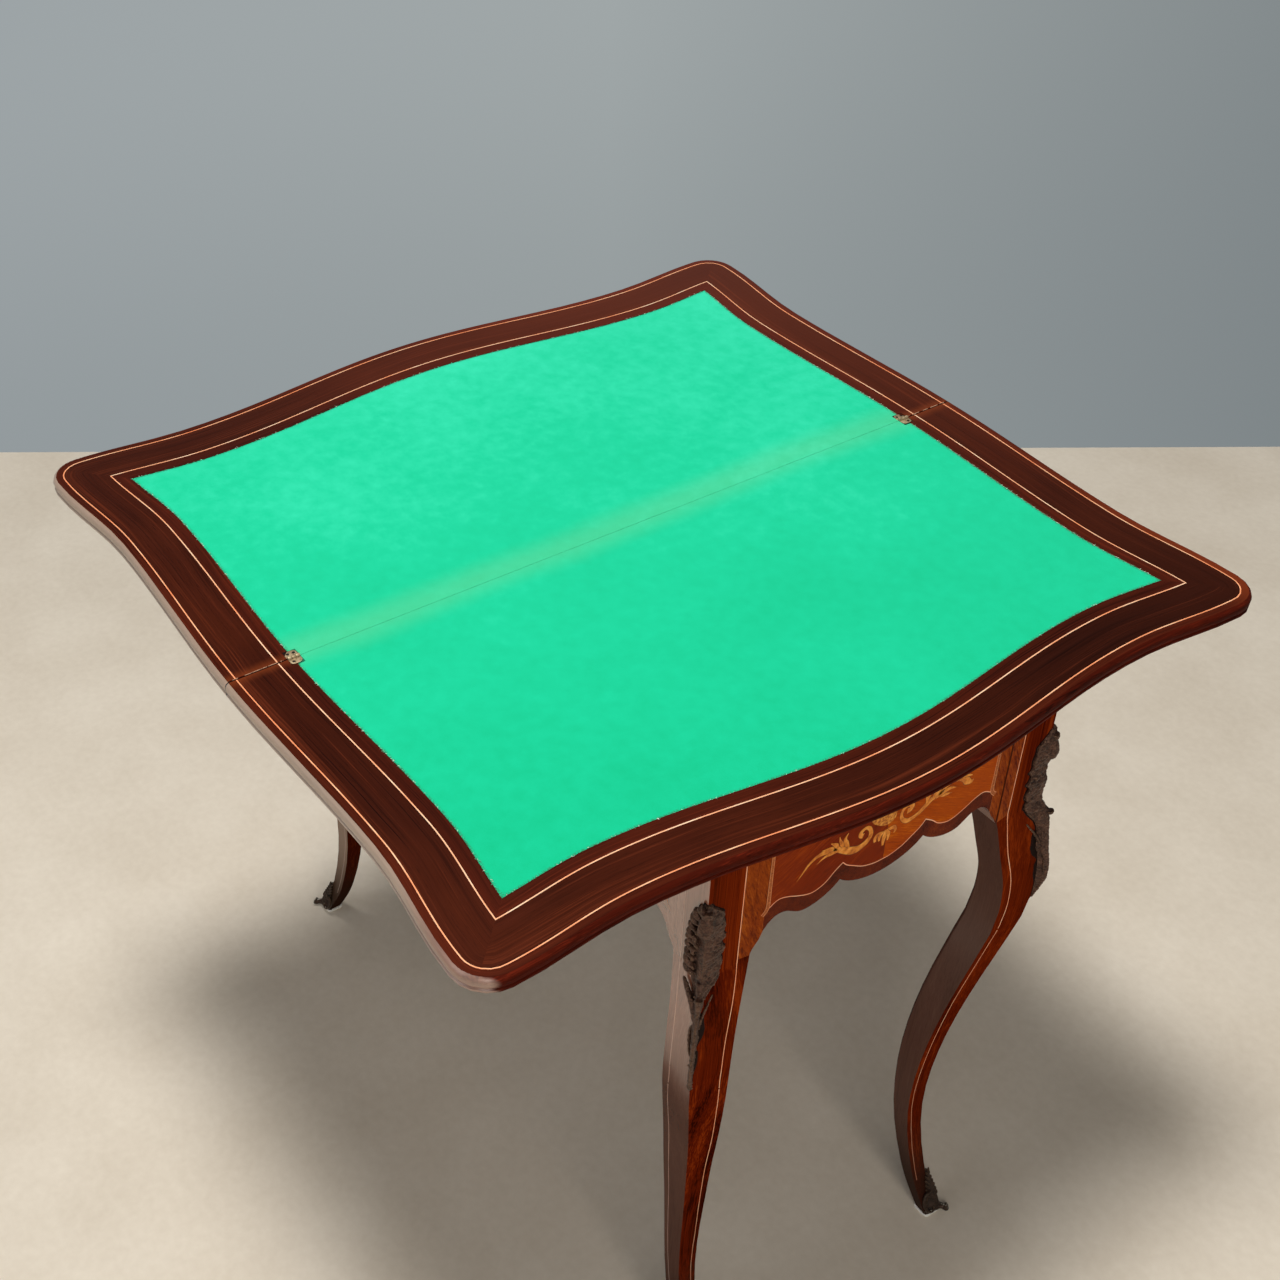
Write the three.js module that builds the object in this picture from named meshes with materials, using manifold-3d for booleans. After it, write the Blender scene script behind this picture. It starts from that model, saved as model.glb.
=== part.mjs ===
// A games table with a swivel and fold-over top, shown open for play.
// The base is a scalloped frame on four cabriole legs. A cross rail in it carries the pivot bolt of the
// lower leaf. The upper leaf is hinged to the lower one along the seam and folds over onto it.
// Millimetres, +Z up, origin on the floor at the centre of the base, X across the seam, Y along it.
import * as THREE from 'three';
import { mergeVertices } from 'three/addons/utils/BufferGeometryUtils.js';
import Module from 'manifold-3d';

const wasm = await Module();
wasm.setup();

// Driving sizes of the table
const tableHeight = 775; // playing surface above the floor
const clearance = 0.3; // left between pieces that touch or run on each other
const overrun = 2; // how far a cutting shape passes the face it cuts

// Open top: reach of its outline from the seam and from the middle of the seam
const leafThickness = 15.5;
const sideBulgeReach = 428;
const sideWaistReach = 401;
const sideCornerReach = 410;
const sideWaistPlace = 278;
const endSeamReach = 426;
const endWaistReach = 418;
const endCornerReach = 430;
const endWaistPlace = 241;
const topCornerRadius = 34;

// Border and cloth
const borderWidth = 66;
const clothThickness = 0.8;
const clothBelowSurface = 0.2;

// Seam hinges, let into the border's inner edge at each end of the seam
const hingeAxisRise = 0.25; // of the fold axis above the playing surface
const hingeLength = 12;
const hingePlateReach = 10;
const hingePlateThickness = 1.2;
const knuckleRadius = 1.9;
const knuckleBoreRadius = 1.1;
const hingePinRadius = 0.8;
const hingeFromCloth = 5; // how far the plate runs out under the edge of the border

// Base
const frameHalfLength = 386;
const frameHalfDepth = 195;
const endPostWidth = 51; // of a post on the table's ends, and below on its long sides
const longPostWidth = 39;
const postChamfer = 16;
const apronThickness = 22;
const apronSetBack = 1; // of an apron's face behind the posts'
const apronCentreDepth = 140; // below the playing surface, as are the next three
const apronCuspDepth = 123;
const apronLobeDepth = 138;
const apronCrestDepth = 126;
const earDepth = 160;
const earLength = 29;

// Legs
const ankleInset = 29;
const arrisRounding = 1.8;
const footPadThickness = 3;
const footPadRadius = 9;

// Inside the frame
const railWidth = 60;
const railDepth = 45;
const wellFloorThickness = 8;
const wellDepth = 87;
const runnerWidth = 12;
const runnerHeight = 10;
const blockReach = 30;
const blockHeight = 55;
const blockDrop = 5;

// Pivot of the lower leaf
const backOverhang = 5; // of the closed top over the back of the frame
const boltRadius = 6;
const boltClearance = 0.4;
const boltHeadRadius = 12;
const boltHeadThickness = 4;
const boltTail = 4; // left below the nut
const platePlanSize = 70;
const plateThickness = 3;
const washerRadius = 14;
const washerThickness = 2;
const nutRadius = 11;
const nutThickness = 10;
const stopBlockHeight = 14;
const stopBlockOffset = 60; // of its centre from the bolt, along the rail

// Bronze mounts
const kneeMountWidth = 21; // on each face of the leg
const kneeMountHeight = 212;
const kneeMountTopDepth = 67; // below the playing surface
const kneeMountRelief = 13;
const mountEdge = 1.6; // thickness where a mount thins out on the wood
const sabotHeight = 60;
const sabotWidth = 11;
const sabotRelief = 9;

// Worked out from these
const frameTop = tableHeight - leafThickness - clearance;
const earHeight = tableHeight - earDepth;
const sideFlarePlace = endCornerReach - topCornerRadius;
const endFlarePlace = sideCornerReach - topCornerRadius;
const pivotPlace = (frameHalfDepth + backOverhang) / 2;
const apronInnerX = frameHalfLength - apronSetBack - apronThickness;
const apronInnerY = frameHalfDepth - apronSetBack - apronThickness;
const wellFloorTop = frameTop - wellDepth;
const wellFloorBottom = wellFloorTop - wellFloorThickness;
const hingeAxisHeight = tableHeight + hingeAxisRise;
const seamHalfGap = clearance / 2;

const woodMaterial = paint(0x4a1d12, 0.28, 0);
const apronMaterial = paint(0x8a3d14, 0.3, 0);
const oakMaterial = paint(0x8f6a42, 0.7, 0);
const clothMaterial = paint(0x20dca4, 0.95, 0);
const bronzeMaterial = paint(0x3d3128, 0.45, 0.8);
const brassMaterial = paint(0x9c8456, 0.5, 0.9);
const ironMaterial = paint(0x4c4a48, 0.55, 0.9);
const feltMaterial = paint(0xd9d4cb, 0.95, 0);

const base = new THREE.Group();
const swivelTop = new THREE.Group();
const foldTop = new THREE.Group();

function paint(color, roughness, metalness) {
  return new THREE.MeshStandardMaterial({ color, roughness, metalness });
}

function place(group, name, geometry, material) {
  const mesh = new THREE.Mesh(geometry, material);
  mesh.name = name;
  group.add(mesh);
  return mesh;
}

// Solids for cutting and joining
function solid(geometry) {
  const bare = geometry.clone();
  bare.deleteAttribute('normal');
  bare.deleteAttribute('uv');
  const merged = mergeVertices(bare);
  const vertProperties = new Float32Array(merged.attributes.position.array);
  const triVerts = new Uint32Array(merged.index.array);
  return new wasm.Manifold(new wasm.Mesh({ numProp: 3, vertProperties, triVerts }));
}

function geometryOf(manifold) {
  const mesh = manifold.getMesh();
  const geometry = new THREE.BufferGeometry();
  geometry.setAttribute('position', new THREE.BufferAttribute(mesh.vertProperties, 3));
  geometry.setIndex(new THREE.BufferAttribute(mesh.triVerts, 1));
  geometry.computeVertexNormals();
  return geometry;
}

function boxBetween(low, high) {
  const size = high.map((value, axis) => value - low[axis]);
  const middle = high.map((value, axis) => (value + low[axis]) / 2);
  return new THREE.BoxGeometry(...size).translate(...middle);
}

function rod(radius, low, high, x, y, sides) {
  const geometry = new THREE.CylinderGeometry(radius, radius, high - low, sides);
  return geometry.rotateX(Math.PI / 2).translate(x, y, (low + high) / 2);
}

function pivotRod(radius, low, high, sides = 24) {
  return solid(rod(radius, low, high, pivotPlace, pivotPlace, sides));
}

function rodAlongY(radius, low, high, x, z, sides) {
  const geometry = new THREE.CylinderGeometry(radius, radius, high - low, sides);
  return geometry.translate(x, (low + high) / 2, z);
}

// A solid through level rings of points, each [x, y] and anticlockwise from above, lowest ring first
function loft(rings) {
  const count = rings[0].points.length;
  const positions = rings.flatMap((ring) => ring.points.flatMap(([x, y]) => [x, y, ring.z]));
  const index = [];
  for (let level = 0; level + 1 < rings.length; level += 1) {
    for (let i = 0; i < count; i += 1) {
      const a = level * count + i;
      const b = level * count + ((i + 1) % count);
      index.push(a, b, b + count, a, b + count, a + count);
    }
  }
  const last = (rings.length - 1) * count;
  const cap = ({ points }) => {
    const outline = points.map((point) => new THREE.Vector2(...point));
    return THREE.ShapeUtils.triangulateShape(outline, []);
  };
  cap(rings[0]).forEach(([a, b, c]) => index.push(a, c, b));
  cap(rings[rings.length - 1]).forEach(([a, b, c]) => index.push(last + a, last + b, last + c));
  const geometry = new THREE.BufferGeometry();
  geometry.setAttribute('position', new THREE.Float32BufferAttribute(positions, 3));
  geometry.setIndex(index);
  geometry.computeVertexNormals();
  return geometry;
}

function prism(points, low, high) {
  return loft([{ z: low, points }, { z: high, points }]);
}

// A smooth value from a table of rows [place, value, ...], through every row
function smooth(table, place, column) {
  const last = table.length - 1;
  let row = 0;
  while (row < last - 1 && place > table[row + 1][0]) row += 1;
  const slope = (i) => {
    const before = table[Math.max(i - 1, 0)];
    const after = table[Math.min(i + 1, last)];
    return (after[column] - before[column]) / (after[0] - before[0]);
  };
  const span = table[row + 1][0] - table[row][0];
  const t = Math.min(Math.max((place - table[row][0]) / span, 0), 1);
  const bend = t * t * (3 - 2 * t);
  const startPull = t * (1 - t) * (1 - t) * span * slope(row);
  const endPull = t * t * (t - 1) * span * slope(row + 1);
  return table[row][column] * (1 - bend) + table[row + 1][column] * bend + startPull + endPull;
}

function wave(from, to, share) {
  return from + (to - from) * (1 - Math.cos(Math.PI * share)) / 2;
}

function steps(from, to, count) {
  return Array.from({ length: count + 1 }, (_, i) => from + (to - from) * i / count);
}

// Outline of the open top: the side opposite the seam, and the two ends that the seam meets
function sideReach(y) {
  const away = Math.abs(y);
  if (away < sideWaistPlace) return wave(sideBulgeReach, sideWaistReach, away / sideWaistPlace);
  const share = Math.min((away - sideWaistPlace) / (sideFlarePlace - sideWaistPlace), 1);
  return wave(sideWaistReach, sideCornerReach, share);
}

function endReach(x) {
  const away = Math.abs(x);
  if (away < endWaistPlace) return wave(endSeamReach, endWaistReach, away / endWaistPlace);
  const share = Math.min((away - endWaistPlace) / (endFlarePlace - endWaistPlace), 1);
  return wave(endWaistReach, endCornerReach, share);
}

const endSteps = 14;
const sideSteps = 28;
const cornerSteps = 5;

// Half of the top with rounded corners, its edge drawn in by an inset everywhere but at the seam
function leafOutline(inset) {
  const points = steps(seamHalfGap, endFlarePlace, endSteps).map((x) => [x, inset - endReach(x)]);
  const arc = topCornerRadius - inset;
  steps(-Math.PI / 2, 0, cornerSteps).slice(1, -1).forEach((turn) => {
    points.push([endFlarePlace + arc * Math.cos(turn), arc * Math.sin(turn) - sideFlarePlace]);
  });
  steps(-sideFlarePlace, 0, sideSteps / 2).forEach((y) => points.push([sideReach(y) - inset, y]));
  const far = points.slice(0, -1).reverse().map(([x, y]) => [x, -y]);
  return points.concat(far);
}

// The same half with square corners, as the cloth is cut
function clothOutline(inset) {
  let cornerX = endFlarePlace - inset;
  let cornerY = sideFlarePlace - inset;
  for (let pass = 0; pass < 6; pass += 1) {
    cornerX = sideReach(cornerY) - inset;
    cornerY = endReach(cornerX) - inset;
  }
  const points = steps(seamHalfGap, cornerX, endSteps).map((x) => [x, inset - endReach(x)]);
  steps(-cornerY, 0, sideSteps / 2).slice(1).forEach((y) => points.push([sideReach(y) - inset, y]));
  const far = points.slice(0, -1).reverse().map(([x, y]) => [x, -y]);
  return points.concat(far);
}

// Edge moulding of a leaf, from its underside up: height and inset, both as shares of its thickness
const edgeShares = [
  [0, 0.13], [0.09, 0.03], [0.22, 0.02], [0.3, 0.1], [0.36, 0.05],
  [0.6, 0], [0.8, 0.03], [0.92, 0.1], [1, 0.22],
];

const hingeMiddle = endSeamReach - borderWidth - hingeLength / 2 + hingeFromCloth;
const hingeEnds = { front: -1, back: 1 };

// Sinkings in a leaf's upper face for the cloth, the hinge plates and the knuckles between the leaves
function leafBoard(underside) {
  const rings = edgeShares.map(([height, inset]) => ({
    z: underside + height * leafThickness,
    points: leafOutline(inset * leafThickness),
  }));
  const top = underside + leafThickness;
  const clothBed = top - clothBelowSurface - clothThickness - clearance;
  const clothSinking = clothOutline(borderWidth - clearance);
  clothSinking[0][0] = -overrun;
  clothSinking[clothSinking.length - 1][0] = -overrun;
  let board = solid(loft(rings)).subtract(solid(prism(clothSinking, clothBed, top + overrun)));
  for (const side of Object.values(hingeEnds)) {
    const start = side * hingeMiddle - hingeLength / 2 - clearance;
    const end = start + hingeLength + 2 * clearance;
    const plateBed = top - 2 * clearance - hingePlateThickness;
    const plateEnd = hingePlateReach + clearance;
    const knuckleBed = hingeAxisHeight - knuckleRadius - 2 * clearance;
    const knuckleEnd = knuckleRadius + 2 * clearance;
    const plateSinking = boxBetween([-overrun, start, plateBed], [plateEnd, end, top + overrun]);
    const knuckleSinking = boxBetween([-overrun, start, knuckleBed], [knuckleEnd, end, top + overrun]);
    board = board.subtract(solid(plateSinking)).subtract(solid(knuckleSinking));
  }
  return board;
}

function cloth(surface) {
  const top = surface - clothBelowSurface;
  let sheet = solid(prism(clothOutline(borderWidth), top - clothThickness, top));
  for (const side of Object.values(hingeEnds)) {
    const low = side * hingeMiddle - hingeLength / 2 - 2 * clearance;
    const high = low + hingeLength + 4 * clearance;
    const corner = [hingePlateReach + 2 * clearance, high, tableHeight + overrun];
    sheet = sheet.subtract(solid(boxBetween([-overrun, low, clothBedLow], corner)));
  }
  return geometryOf(sheet);
}

const clothBedLow = tableHeight - leafThickness;

// A hinge half for the +X leaf: a plate with knuckles, each given by its share of the hinge's length
function hingeHalf(side, knuckleShares) {
  const low = side * hingeMiddle - hingeLength / 2;
  const plateTop = tableHeight - clearance;
  const plateLow = plateTop - hingePlateThickness;
  const plateStart = knuckleRadius + clearance;
  let half = solid(boxBetween([plateStart, low, plateLow], [hingePlateReach, low + hingeLength, plateTop]));
  const bores = [];
  for (const [from, to] of knuckleShares) {
    const start = low + from * hingeLength + (from > 0 ? clearance / 2 : 0);
    const end = low + to * hingeLength - (to < 1 ? clearance / 2 : 0);
    const neck = boxBetween([0, start, plateLow], [plateStart + clearance, end, plateTop]);
    const barrel = rodAlongY(knuckleRadius, start, end, 0, hingeAxisHeight, 20);
    half = half.add(solid(neck)).add(solid(barrel));
    bores.push(rodAlongY(knuckleBoreRadius, start - overrun, end + overrun, 0, hingeAxisHeight, 16));
  }
  bores.forEach((bore) => { half = half.subtract(solid(bore)); });
  return geometryOf(half);
}

const outerKnuckleShares = [[0, 0.33], [0.67, 1]];
const middleKnuckleShares = [[0.33, 0.67]];

// Lower leaf with its pivot, which turns on the base
function buildSwivelTop() {
  const underside = tableHeight - leafThickness;
  const half = platePlanSize / 2;
  const sinkHalf = half + clearance;
  const plateTop = underside + plateThickness;
  const headLow = plateTop + clearance;
  const headTop = headLow + boltHeadThickness;
  const plateSinking = boxBetween(
    [pivotPlace - sinkHalf, pivotPlace - sinkHalf, underside - overrun],
    [pivotPlace + sinkHalf, pivotPlace + sinkHalf, plateTop + clearance],
  );
  const headSinking = pivotRod(boltHeadRadius + clearance, underside, headTop + clearance);
  const board = leafBoard(underside).subtract(solid(plateSinking)).subtract(headSinking);
  place(swivelTop, 'lower_leaf', geometryOf(board), woodMaterial);
  place(swivelTop, 'lower_baize', cloth(tableHeight), clothMaterial);

  const boreRadius = boltRadius + boltClearance;
  const plate = boxBetween(
    [pivotPlace - half, pivotPlace - half, underside],
    [pivotPlace + half, pivotPlace + half, plateTop],
  );
  const plateHole = pivotRod(boreRadius, underside - overrun, headLow);
  place(swivelTop, 'pivot_plate', geometryOf(solid(plate).subtract(plateHole)), ironMaterial);

  const washerTop = frameTop - railDepth - clearance;
  const washerLow = washerTop - washerThickness;
  const nutTop = washerLow - clearance;
  const nutLow = nutTop - nutThickness;
  const shank = pivotRod(boltRadius, nutLow - boltTail, headLow + overrun);
  const head = pivotRod(boltHeadRadius, headLow, headTop);
  place(swivelTop, 'pivot_bolt', geometryOf(shank.add(head)), ironMaterial);
  const bore = pivotRod(boreRadius, nutLow - overrun, washerTop + overrun);
  const washer = pivotRod(washerRadius, washerLow, washerTop).subtract(bore);
  place(swivelTop, 'pivot_washer', geometryOf(washer), ironMaterial);
  const nut = pivotRod(nutRadius, nutLow, nutTop, 6).subtract(bore);
  place(swivelTop, 'pivot_nut', geometryOf(nut), ironMaterial);

  // The block meets the rail when the top is open and the back apron when it is closed
  const blockHalf = (apronInnerY - pivotPlace - railWidth / 2) / 2 - clearance;
  const blockX = pivotPlace - railWidth / 2 - clearance - blockHalf;
  const blockY = pivotPlace - stopBlockOffset;
  const block = boxBetween(
    [blockX - blockHalf, blockY - blockHalf, frameTop - stopBlockHeight],
    [blockX + blockHalf, blockY + blockHalf, frameTop],
  );
  place(swivelTop, 'swivel_stop', block, oakMaterial);

  for (const [end, side] of Object.entries(hingeEnds)) {
    place(swivelTop, `${end}_hinge_lower_half`, hingeHalf(side, outerKnuckleShares), brassMaterial);
    const low = side * hingeMiddle - hingeLength / 2;
    const pin = rodAlongY(hingePinRadius, low, low + hingeLength, 0, hingeAxisHeight, 16);
    place(swivelTop, `${end}_hinge_pin`, pin, brassMaterial);
  }
}

// Upper leaf, which is the lower one's shape turned half round and folds on the seam
function buildFoldTop() {
  foldTop.rotation.z = Math.PI;
  place(foldTop, 'upper_leaf', geometryOf(leafBoard(tableHeight - leafThickness)), woodMaterial);
  place(foldTop, 'upper_baize', cloth(tableHeight), clothMaterial);
  for (const [end, side] of Object.entries(hingeEnds)) {
    const half = hingeHalf(-side, middleKnuckleShares);
    place(foldTop, `${end}_hinge_upper_half`, half, brassMaterial);
  }
}

// Cabriole leg below the apron. Each row holds the height as a share of the apron ears' height, the inset
// of the leg's outer corner along and across the table as shares of the ankle's inset, and the width
// of its face on the long side and on the end as shares of the post's.
const legShares = [
  [0.005, -0.4, 0.57, 0.44, 0.367], [0.033, -0.13, 0.667, 0.467, 0.372], [0.073, 0.23, 0.78, 0.5, 0.378],
  [0.13, 0.61, 0.87, 0.55, 0.39], [0.211, 0.92, 0.965, 0.615, 0.42], [0.293, 1, 1, 0.695, 0.467],
  [0.39, 0.89, 0.91, 0.815, 0.533], [0.488, 0.66, 0.68, 0.91, 0.612], [0.585, 0.33, 0.37, 0.97, 0.706],
  [0.699, -0.1, -0.1, 1, 0.812], [0.78, -0.36, -0.4, 0.985, 0.868], [0.862, -0.37, -0.42, 0.945, 0.905],
  [0.935, -0.18, -0.2, 0.95, 0.945], [1, -0.02, -0.02, 1, 1],
];
const innerChamferShare = 0.12;

const corners = {
  front_right: [1, -1],
  back_right: [1, 1],
  back_left: [-1, 1],
  front_left: [-1, -1],
};

// Outer corner of a leg at a height, in the quarter where x and y are positive, with its face widths
function legAt(height) {
  if (height > earHeight) {
    return { x: frameHalfLength, y: frameHalfDepth, longFace: longPostWidth, endFace: endPostWidth };
  }
  const share = height / earHeight;
  return {
    x: frameHalfLength - smooth(legShares, share, 1) * ankleInset,
    y: frameHalfDepth - smooth(legShares, share, 2) * ankleInset,
    longFace: smooth(legShares, share, 3) * longPostWidth,
    endFace: smooth(legShares, share, 4) * endPostWidth,
  };
}

function atCorner(points, [signX, signY]) {
  const turned = points.map(([x, y]) => [signX * x, signY * y]);
  return signX * signY > 0 ? turned : turned.reverse();
}

function legSection(height) {
  const { x, y, longFace, endFace } = legAt(height);
  const chamfer = height > earHeight ? postChamfer : innerChamferShare * longFace;
  return [
    [x, y - endFace], [x, y - arrisRounding], [x - arrisRounding / 3, y - arrisRounding / 3],
    [x - arrisRounding, y], [x - longFace, y],
    [x - longFace, y - endFace + chamfer], [x - longFace + chamfer, y - endFace],
  ];
}

// Leg and mounts share their levels, so that the mounts lie close on the wood
const sabotLevels = steps(footPadThickness, footPadThickness + sabotHeight, 16);
const kneeMountTop = tableHeight - kneeMountTopDepth;
const kneeMountLevels = steps(kneeMountTop - kneeMountHeight, kneeMountTop, 30);
const shinLevels = steps(sabotLevels.at(-1), kneeMountLevels[0], 14).slice(1, -1);
const legLevels = [...sabotLevels, ...shinLevels, ...kneeMountLevels, frameTop];

function leg(corner) {
  return loft(legLevels.map((z) => ({ z, points: atCorner(legSection(z), corner) })));
}

// A cast mount that wraps the outer corner of a leg. Rows of its table hold the height, the width on
// each face and the relief over the corner, as shares of the mount's own height, width and relief.
function cornerMount(corner, levels, width, relief, shares) {
  const height = levels.at(-1) - levels[0];
  const rings = levels.map((z) => {
    const share = (z - levels[0]) / height;
    const { x, y } = legAt(z);
    const wing = smooth(shares, share, 1) * width;
    const proud = mountEdge + smooth(shares, share, 2) * relief;
    const shoulder = wing / 3;
    const points = [
      [x + clearance, y - wing], [x + clearance + mountEdge, y - wing],
      [x + clearance + (mountEdge + proud) / 2, y - shoulder],
      [x + clearance + proud, y + clearance + proud],
      [x - shoulder, y + clearance + (mountEdge + proud) / 2],
      [x - wing, y + clearance + mountEdge], [x - wing, y + clearance],
      [x + clearance, y + clearance],
    ];
    return { z, points: atCorner(points, corner) };
  });
  return loft(rings);
}

const kneeMountShares = [
  [0, 0.1, 0.05], [0.04, 0.16, 0.35], [0.11, 0.22, 0.65], [0.18, 0.24, 0.6],
  [0.33, 0.3, 0.7], [0.45, 0.42, 0.74], [0.5, 0.62, 0.8], [0.525, 0.8, 1],
  [0.56, 0.88, 0.45], [0.6, 0.94, 0.3], [0.71, 1, 0.3], [0.78, 0.98, 0.18],
  [0.84, 0.88, 0.12], [0.88, 0.82, 0.42], [0.92, 0.72, 0.45], [0.97, 0.5, 0.25], [1, 0.28, 0.05],
];
const sabotShares = [
  [0, 0.9, 0.4], [0.07, 1, 0.85], [0.15, 1, 1], [0.23, 0.95, 0.7], [0.31, 0.86, 0.42],
  [0.45, 0.72, 0.5], [0.6, 0.58, 0.55], [0.75, 0.46, 0.48], [0.9, 0.3, 0.25], [1, 0.14, 0.02],
];

// Lower edge of half an apron: places along it as shares of the length between the middle and the ear
const cuspShare = 0.418;
const lobeShare = 0.733;
const centreFlatShare = 0.19;
const cuspPullShare = 0.07;
const lobePullShare = 0.12;
const earPullShare = 0.45;

function apronShape(halfLength) {
  const shape = new THREE.Shape();
  const reach = halfLength - earLength;
  const centre = tableHeight - apronCentreDepth;
  const cusp = tableHeight - apronCuspDepth;
  const lobe = tableHeight - apronLobeDepth;
  const crest = tableHeight - apronCrestDepth;
  const cuspRise = (cusp - centre) / 2;
  const cuspX = cuspShare * reach;
  const lobeX = lobeShare * reach;
  const pull = lobePullShare * reach;
  const cuspPull = cuspPullShare * reach;
  const earPull = earPullShare * earLength;
  shape.moveTo(-halfLength, frameTop);
  shape.lineTo(-halfLength, earHeight);
  for (const side of [-1, 1]) {
    const ear = [
      [side * (halfLength - earPull / 2), earHeight + earPull],
      [side * (reach + earPull), crest],
    ];
    const hollow = [[side * (reach - earPull), crest], [side * (lobeX + pull), lobe]];
    const lobeCurve = [[side * (lobeX - pull), lobe], [side * (cuspX + cuspPull), cusp - cuspRise]];
    const middle = [[side * (cuspX - cuspPull), cusp - cuspRise], [side * centreFlatShare * reach, centre]];
    const run = [
      [ear, [side * reach, crest]], [hollow, [side * lobeX, lobe]],
      [lobeCurve, [side * cuspX, cusp]], [middle, [0, centre]],
    ];
    if (side < 0) {
      run.forEach(([pulls, end]) => shape.bezierCurveTo(...pulls[0], ...pulls[1], ...end));
    } else {
      const starts = [[side * halfLength, earHeight], ...run.slice(0, -1).map(([, end]) => end)];
      for (let i = run.length - 1; i >= 0; i -= 1) {
        const [pulls] = run[i];
        shape.bezierCurveTo(...pulls[1], ...pulls[0], ...starts[i]);
      }
    }
  }
  shape.lineTo(halfLength, frameTop);
  shape.closePath();
  return shape;
}

function apron(name, halfLength, face, quarterTurns) {
  const options = { depth: apronThickness, bevelEnabled: false, curveSegments: 9 };
  const geometry = new THREE.ExtrudeGeometry(apronShape(halfLength), options).rotateX(Math.PI / 2);
  const side = new THREE.Group();
  side.rotation.z = quarterTurns * Math.PI / 2;
  base.add(side);
  place(side, name, geometry, apronMaterial).position.y = apronThickness - face;
}

// Floor of the card well, cut round the posts and butted to the rail
function wellFloor() {
  const left = clearance - apronInnerX;
  const right = pivotPlace - railWidth / 2 - clearance;
  const postX = frameHalfLength - longPostWidth - clearance;
  const postY = frameHalfDepth - endPostWidth - clearance;
  const back = apronInnerY - clearance;
  const points = [
    [-postX, -back], [right, -back], [right, back], [-postX, back],
    [-postX, postY + postChamfer], [-postX - postChamfer, postY], [left, postY],
    [left, -postY], [-postX - postChamfer, -postY], [-postX, -postY - postChamfer],
  ];
  return prism(points, wellFloorBottom, wellFloorTop);
}

function cornerBlock(corner) {
  const wallX = apronInnerX - clearance;
  const wallY = apronInnerY - clearance;
  const postX = frameHalfLength - longPostWidth - clearance;
  const postY = frameHalfDepth - endPostWidth - clearance;
  const points = [
    [wallX, postY - blockReach], [wallX, postY], [postX + postChamfer, postY],
    [postX, postY + postChamfer], [postX, wallY], [postX - blockReach, wallY],
  ];
  const top = frameTop - blockDrop;
  return prism(atCorner(points, corner), top - blockHeight, top);
}

function buildBase() {
  for (const [name, corner] of Object.entries(corners)) {
    place(base, `${name}_leg`, leg(corner), woodMaterial);
    const mount = cornerMount(corner, kneeMountLevels, kneeMountWidth, kneeMountRelief, kneeMountShares);
    place(base, `${name}_knee_mount`, mount, bronzeMaterial);
    const sabot = cornerMount(corner, sabotLevels, sabotWidth, sabotRelief, sabotShares);
    place(base, `${name}_sabot`, sabot, bronzeMaterial);
    const sole = legAt(footPadThickness);
    const padX = corner[0] * (sole.x - sole.longFace / 2);
    const padY = corner[1] * (sole.y - sole.endFace / 2);
    const pad = rod(footPadRadius, 0, footPadThickness - clearance, padX, padY, 20);
    place(base, `${name}_foot_pad`, pad, feltMaterial);
    place(base, `${name}_corner_block`, cornerBlock(corner), oakMaterial);
  }

  const longHalf = frameHalfLength - longPostWidth - clearance;
  const endHalf = frameHalfDepth - endPostWidth - clearance;
  const longFace = frameHalfDepth - apronSetBack;
  const endFace = frameHalfLength - apronSetBack;
  apron('front_apron', longHalf, longFace, 0);
  apron('right_apron', endHalf, endFace, 1);
  apron('back_apron', longHalf, longFace, 2);
  apron('left_apron', endHalf, endFace, 3);

  const railEnd = apronInnerY - clearance;
  const rail = boxBetween(
    [pivotPlace - railWidth / 2, -railEnd, frameTop - railDepth],
    [pivotPlace + railWidth / 2, railEnd, frameTop],
  );
  const boltHole = pivotRod(boltRadius + boltClearance, frameTop - railDepth - overrun, frameTop + overrun);
  place(base, 'pivot_rail', geometryOf(solid(rail).subtract(boltHole)), oakMaterial);
  place(base, 'well_floor', wellFloor(), oakMaterial);
  const runnerTop = wellFloorBottom - clearance;
  const runnerFrom = longPostWidth + clearance - frameHalfLength;
  const runnerTo = pivotPlace - railWidth / 2;
  for (const [end, side] of Object.entries(hingeEnds)) {
    const outer = side * (apronInnerY - clearance);
    const inner = side * (apronInnerY - clearance - runnerWidth);
    const runner = boxBetween(
      [runnerFrom, Math.min(outer, inner), runnerTop - runnerHeight],
      [runnerTo, Math.max(outer, inner), runnerTop],
    );
    place(base, `${end}_floor_runner`, runner, oakMaterial);
  }
}

buildBase();
buildSwivelTop();
buildFoldTop();

const gamesTable = new THREE.Group();
gamesTable.add(base, swivelTop, foldTop);

export default gamesTable;
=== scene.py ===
# %% [markdown]
# # A games table with a swivel and fold-over top
# The frame comes from the CAD model: every solid is already in its place, in metres. This lesson dresses it
# piece by piece: veneers, inlaid lines, cloth, cast mounts, and the hardware under the top.

# %% Load the frame
import math
import random

import bmesh
import bpy
from mathutils import Matrix, Vector, noise
from mathutils.bvhtree import BVHTree


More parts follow.
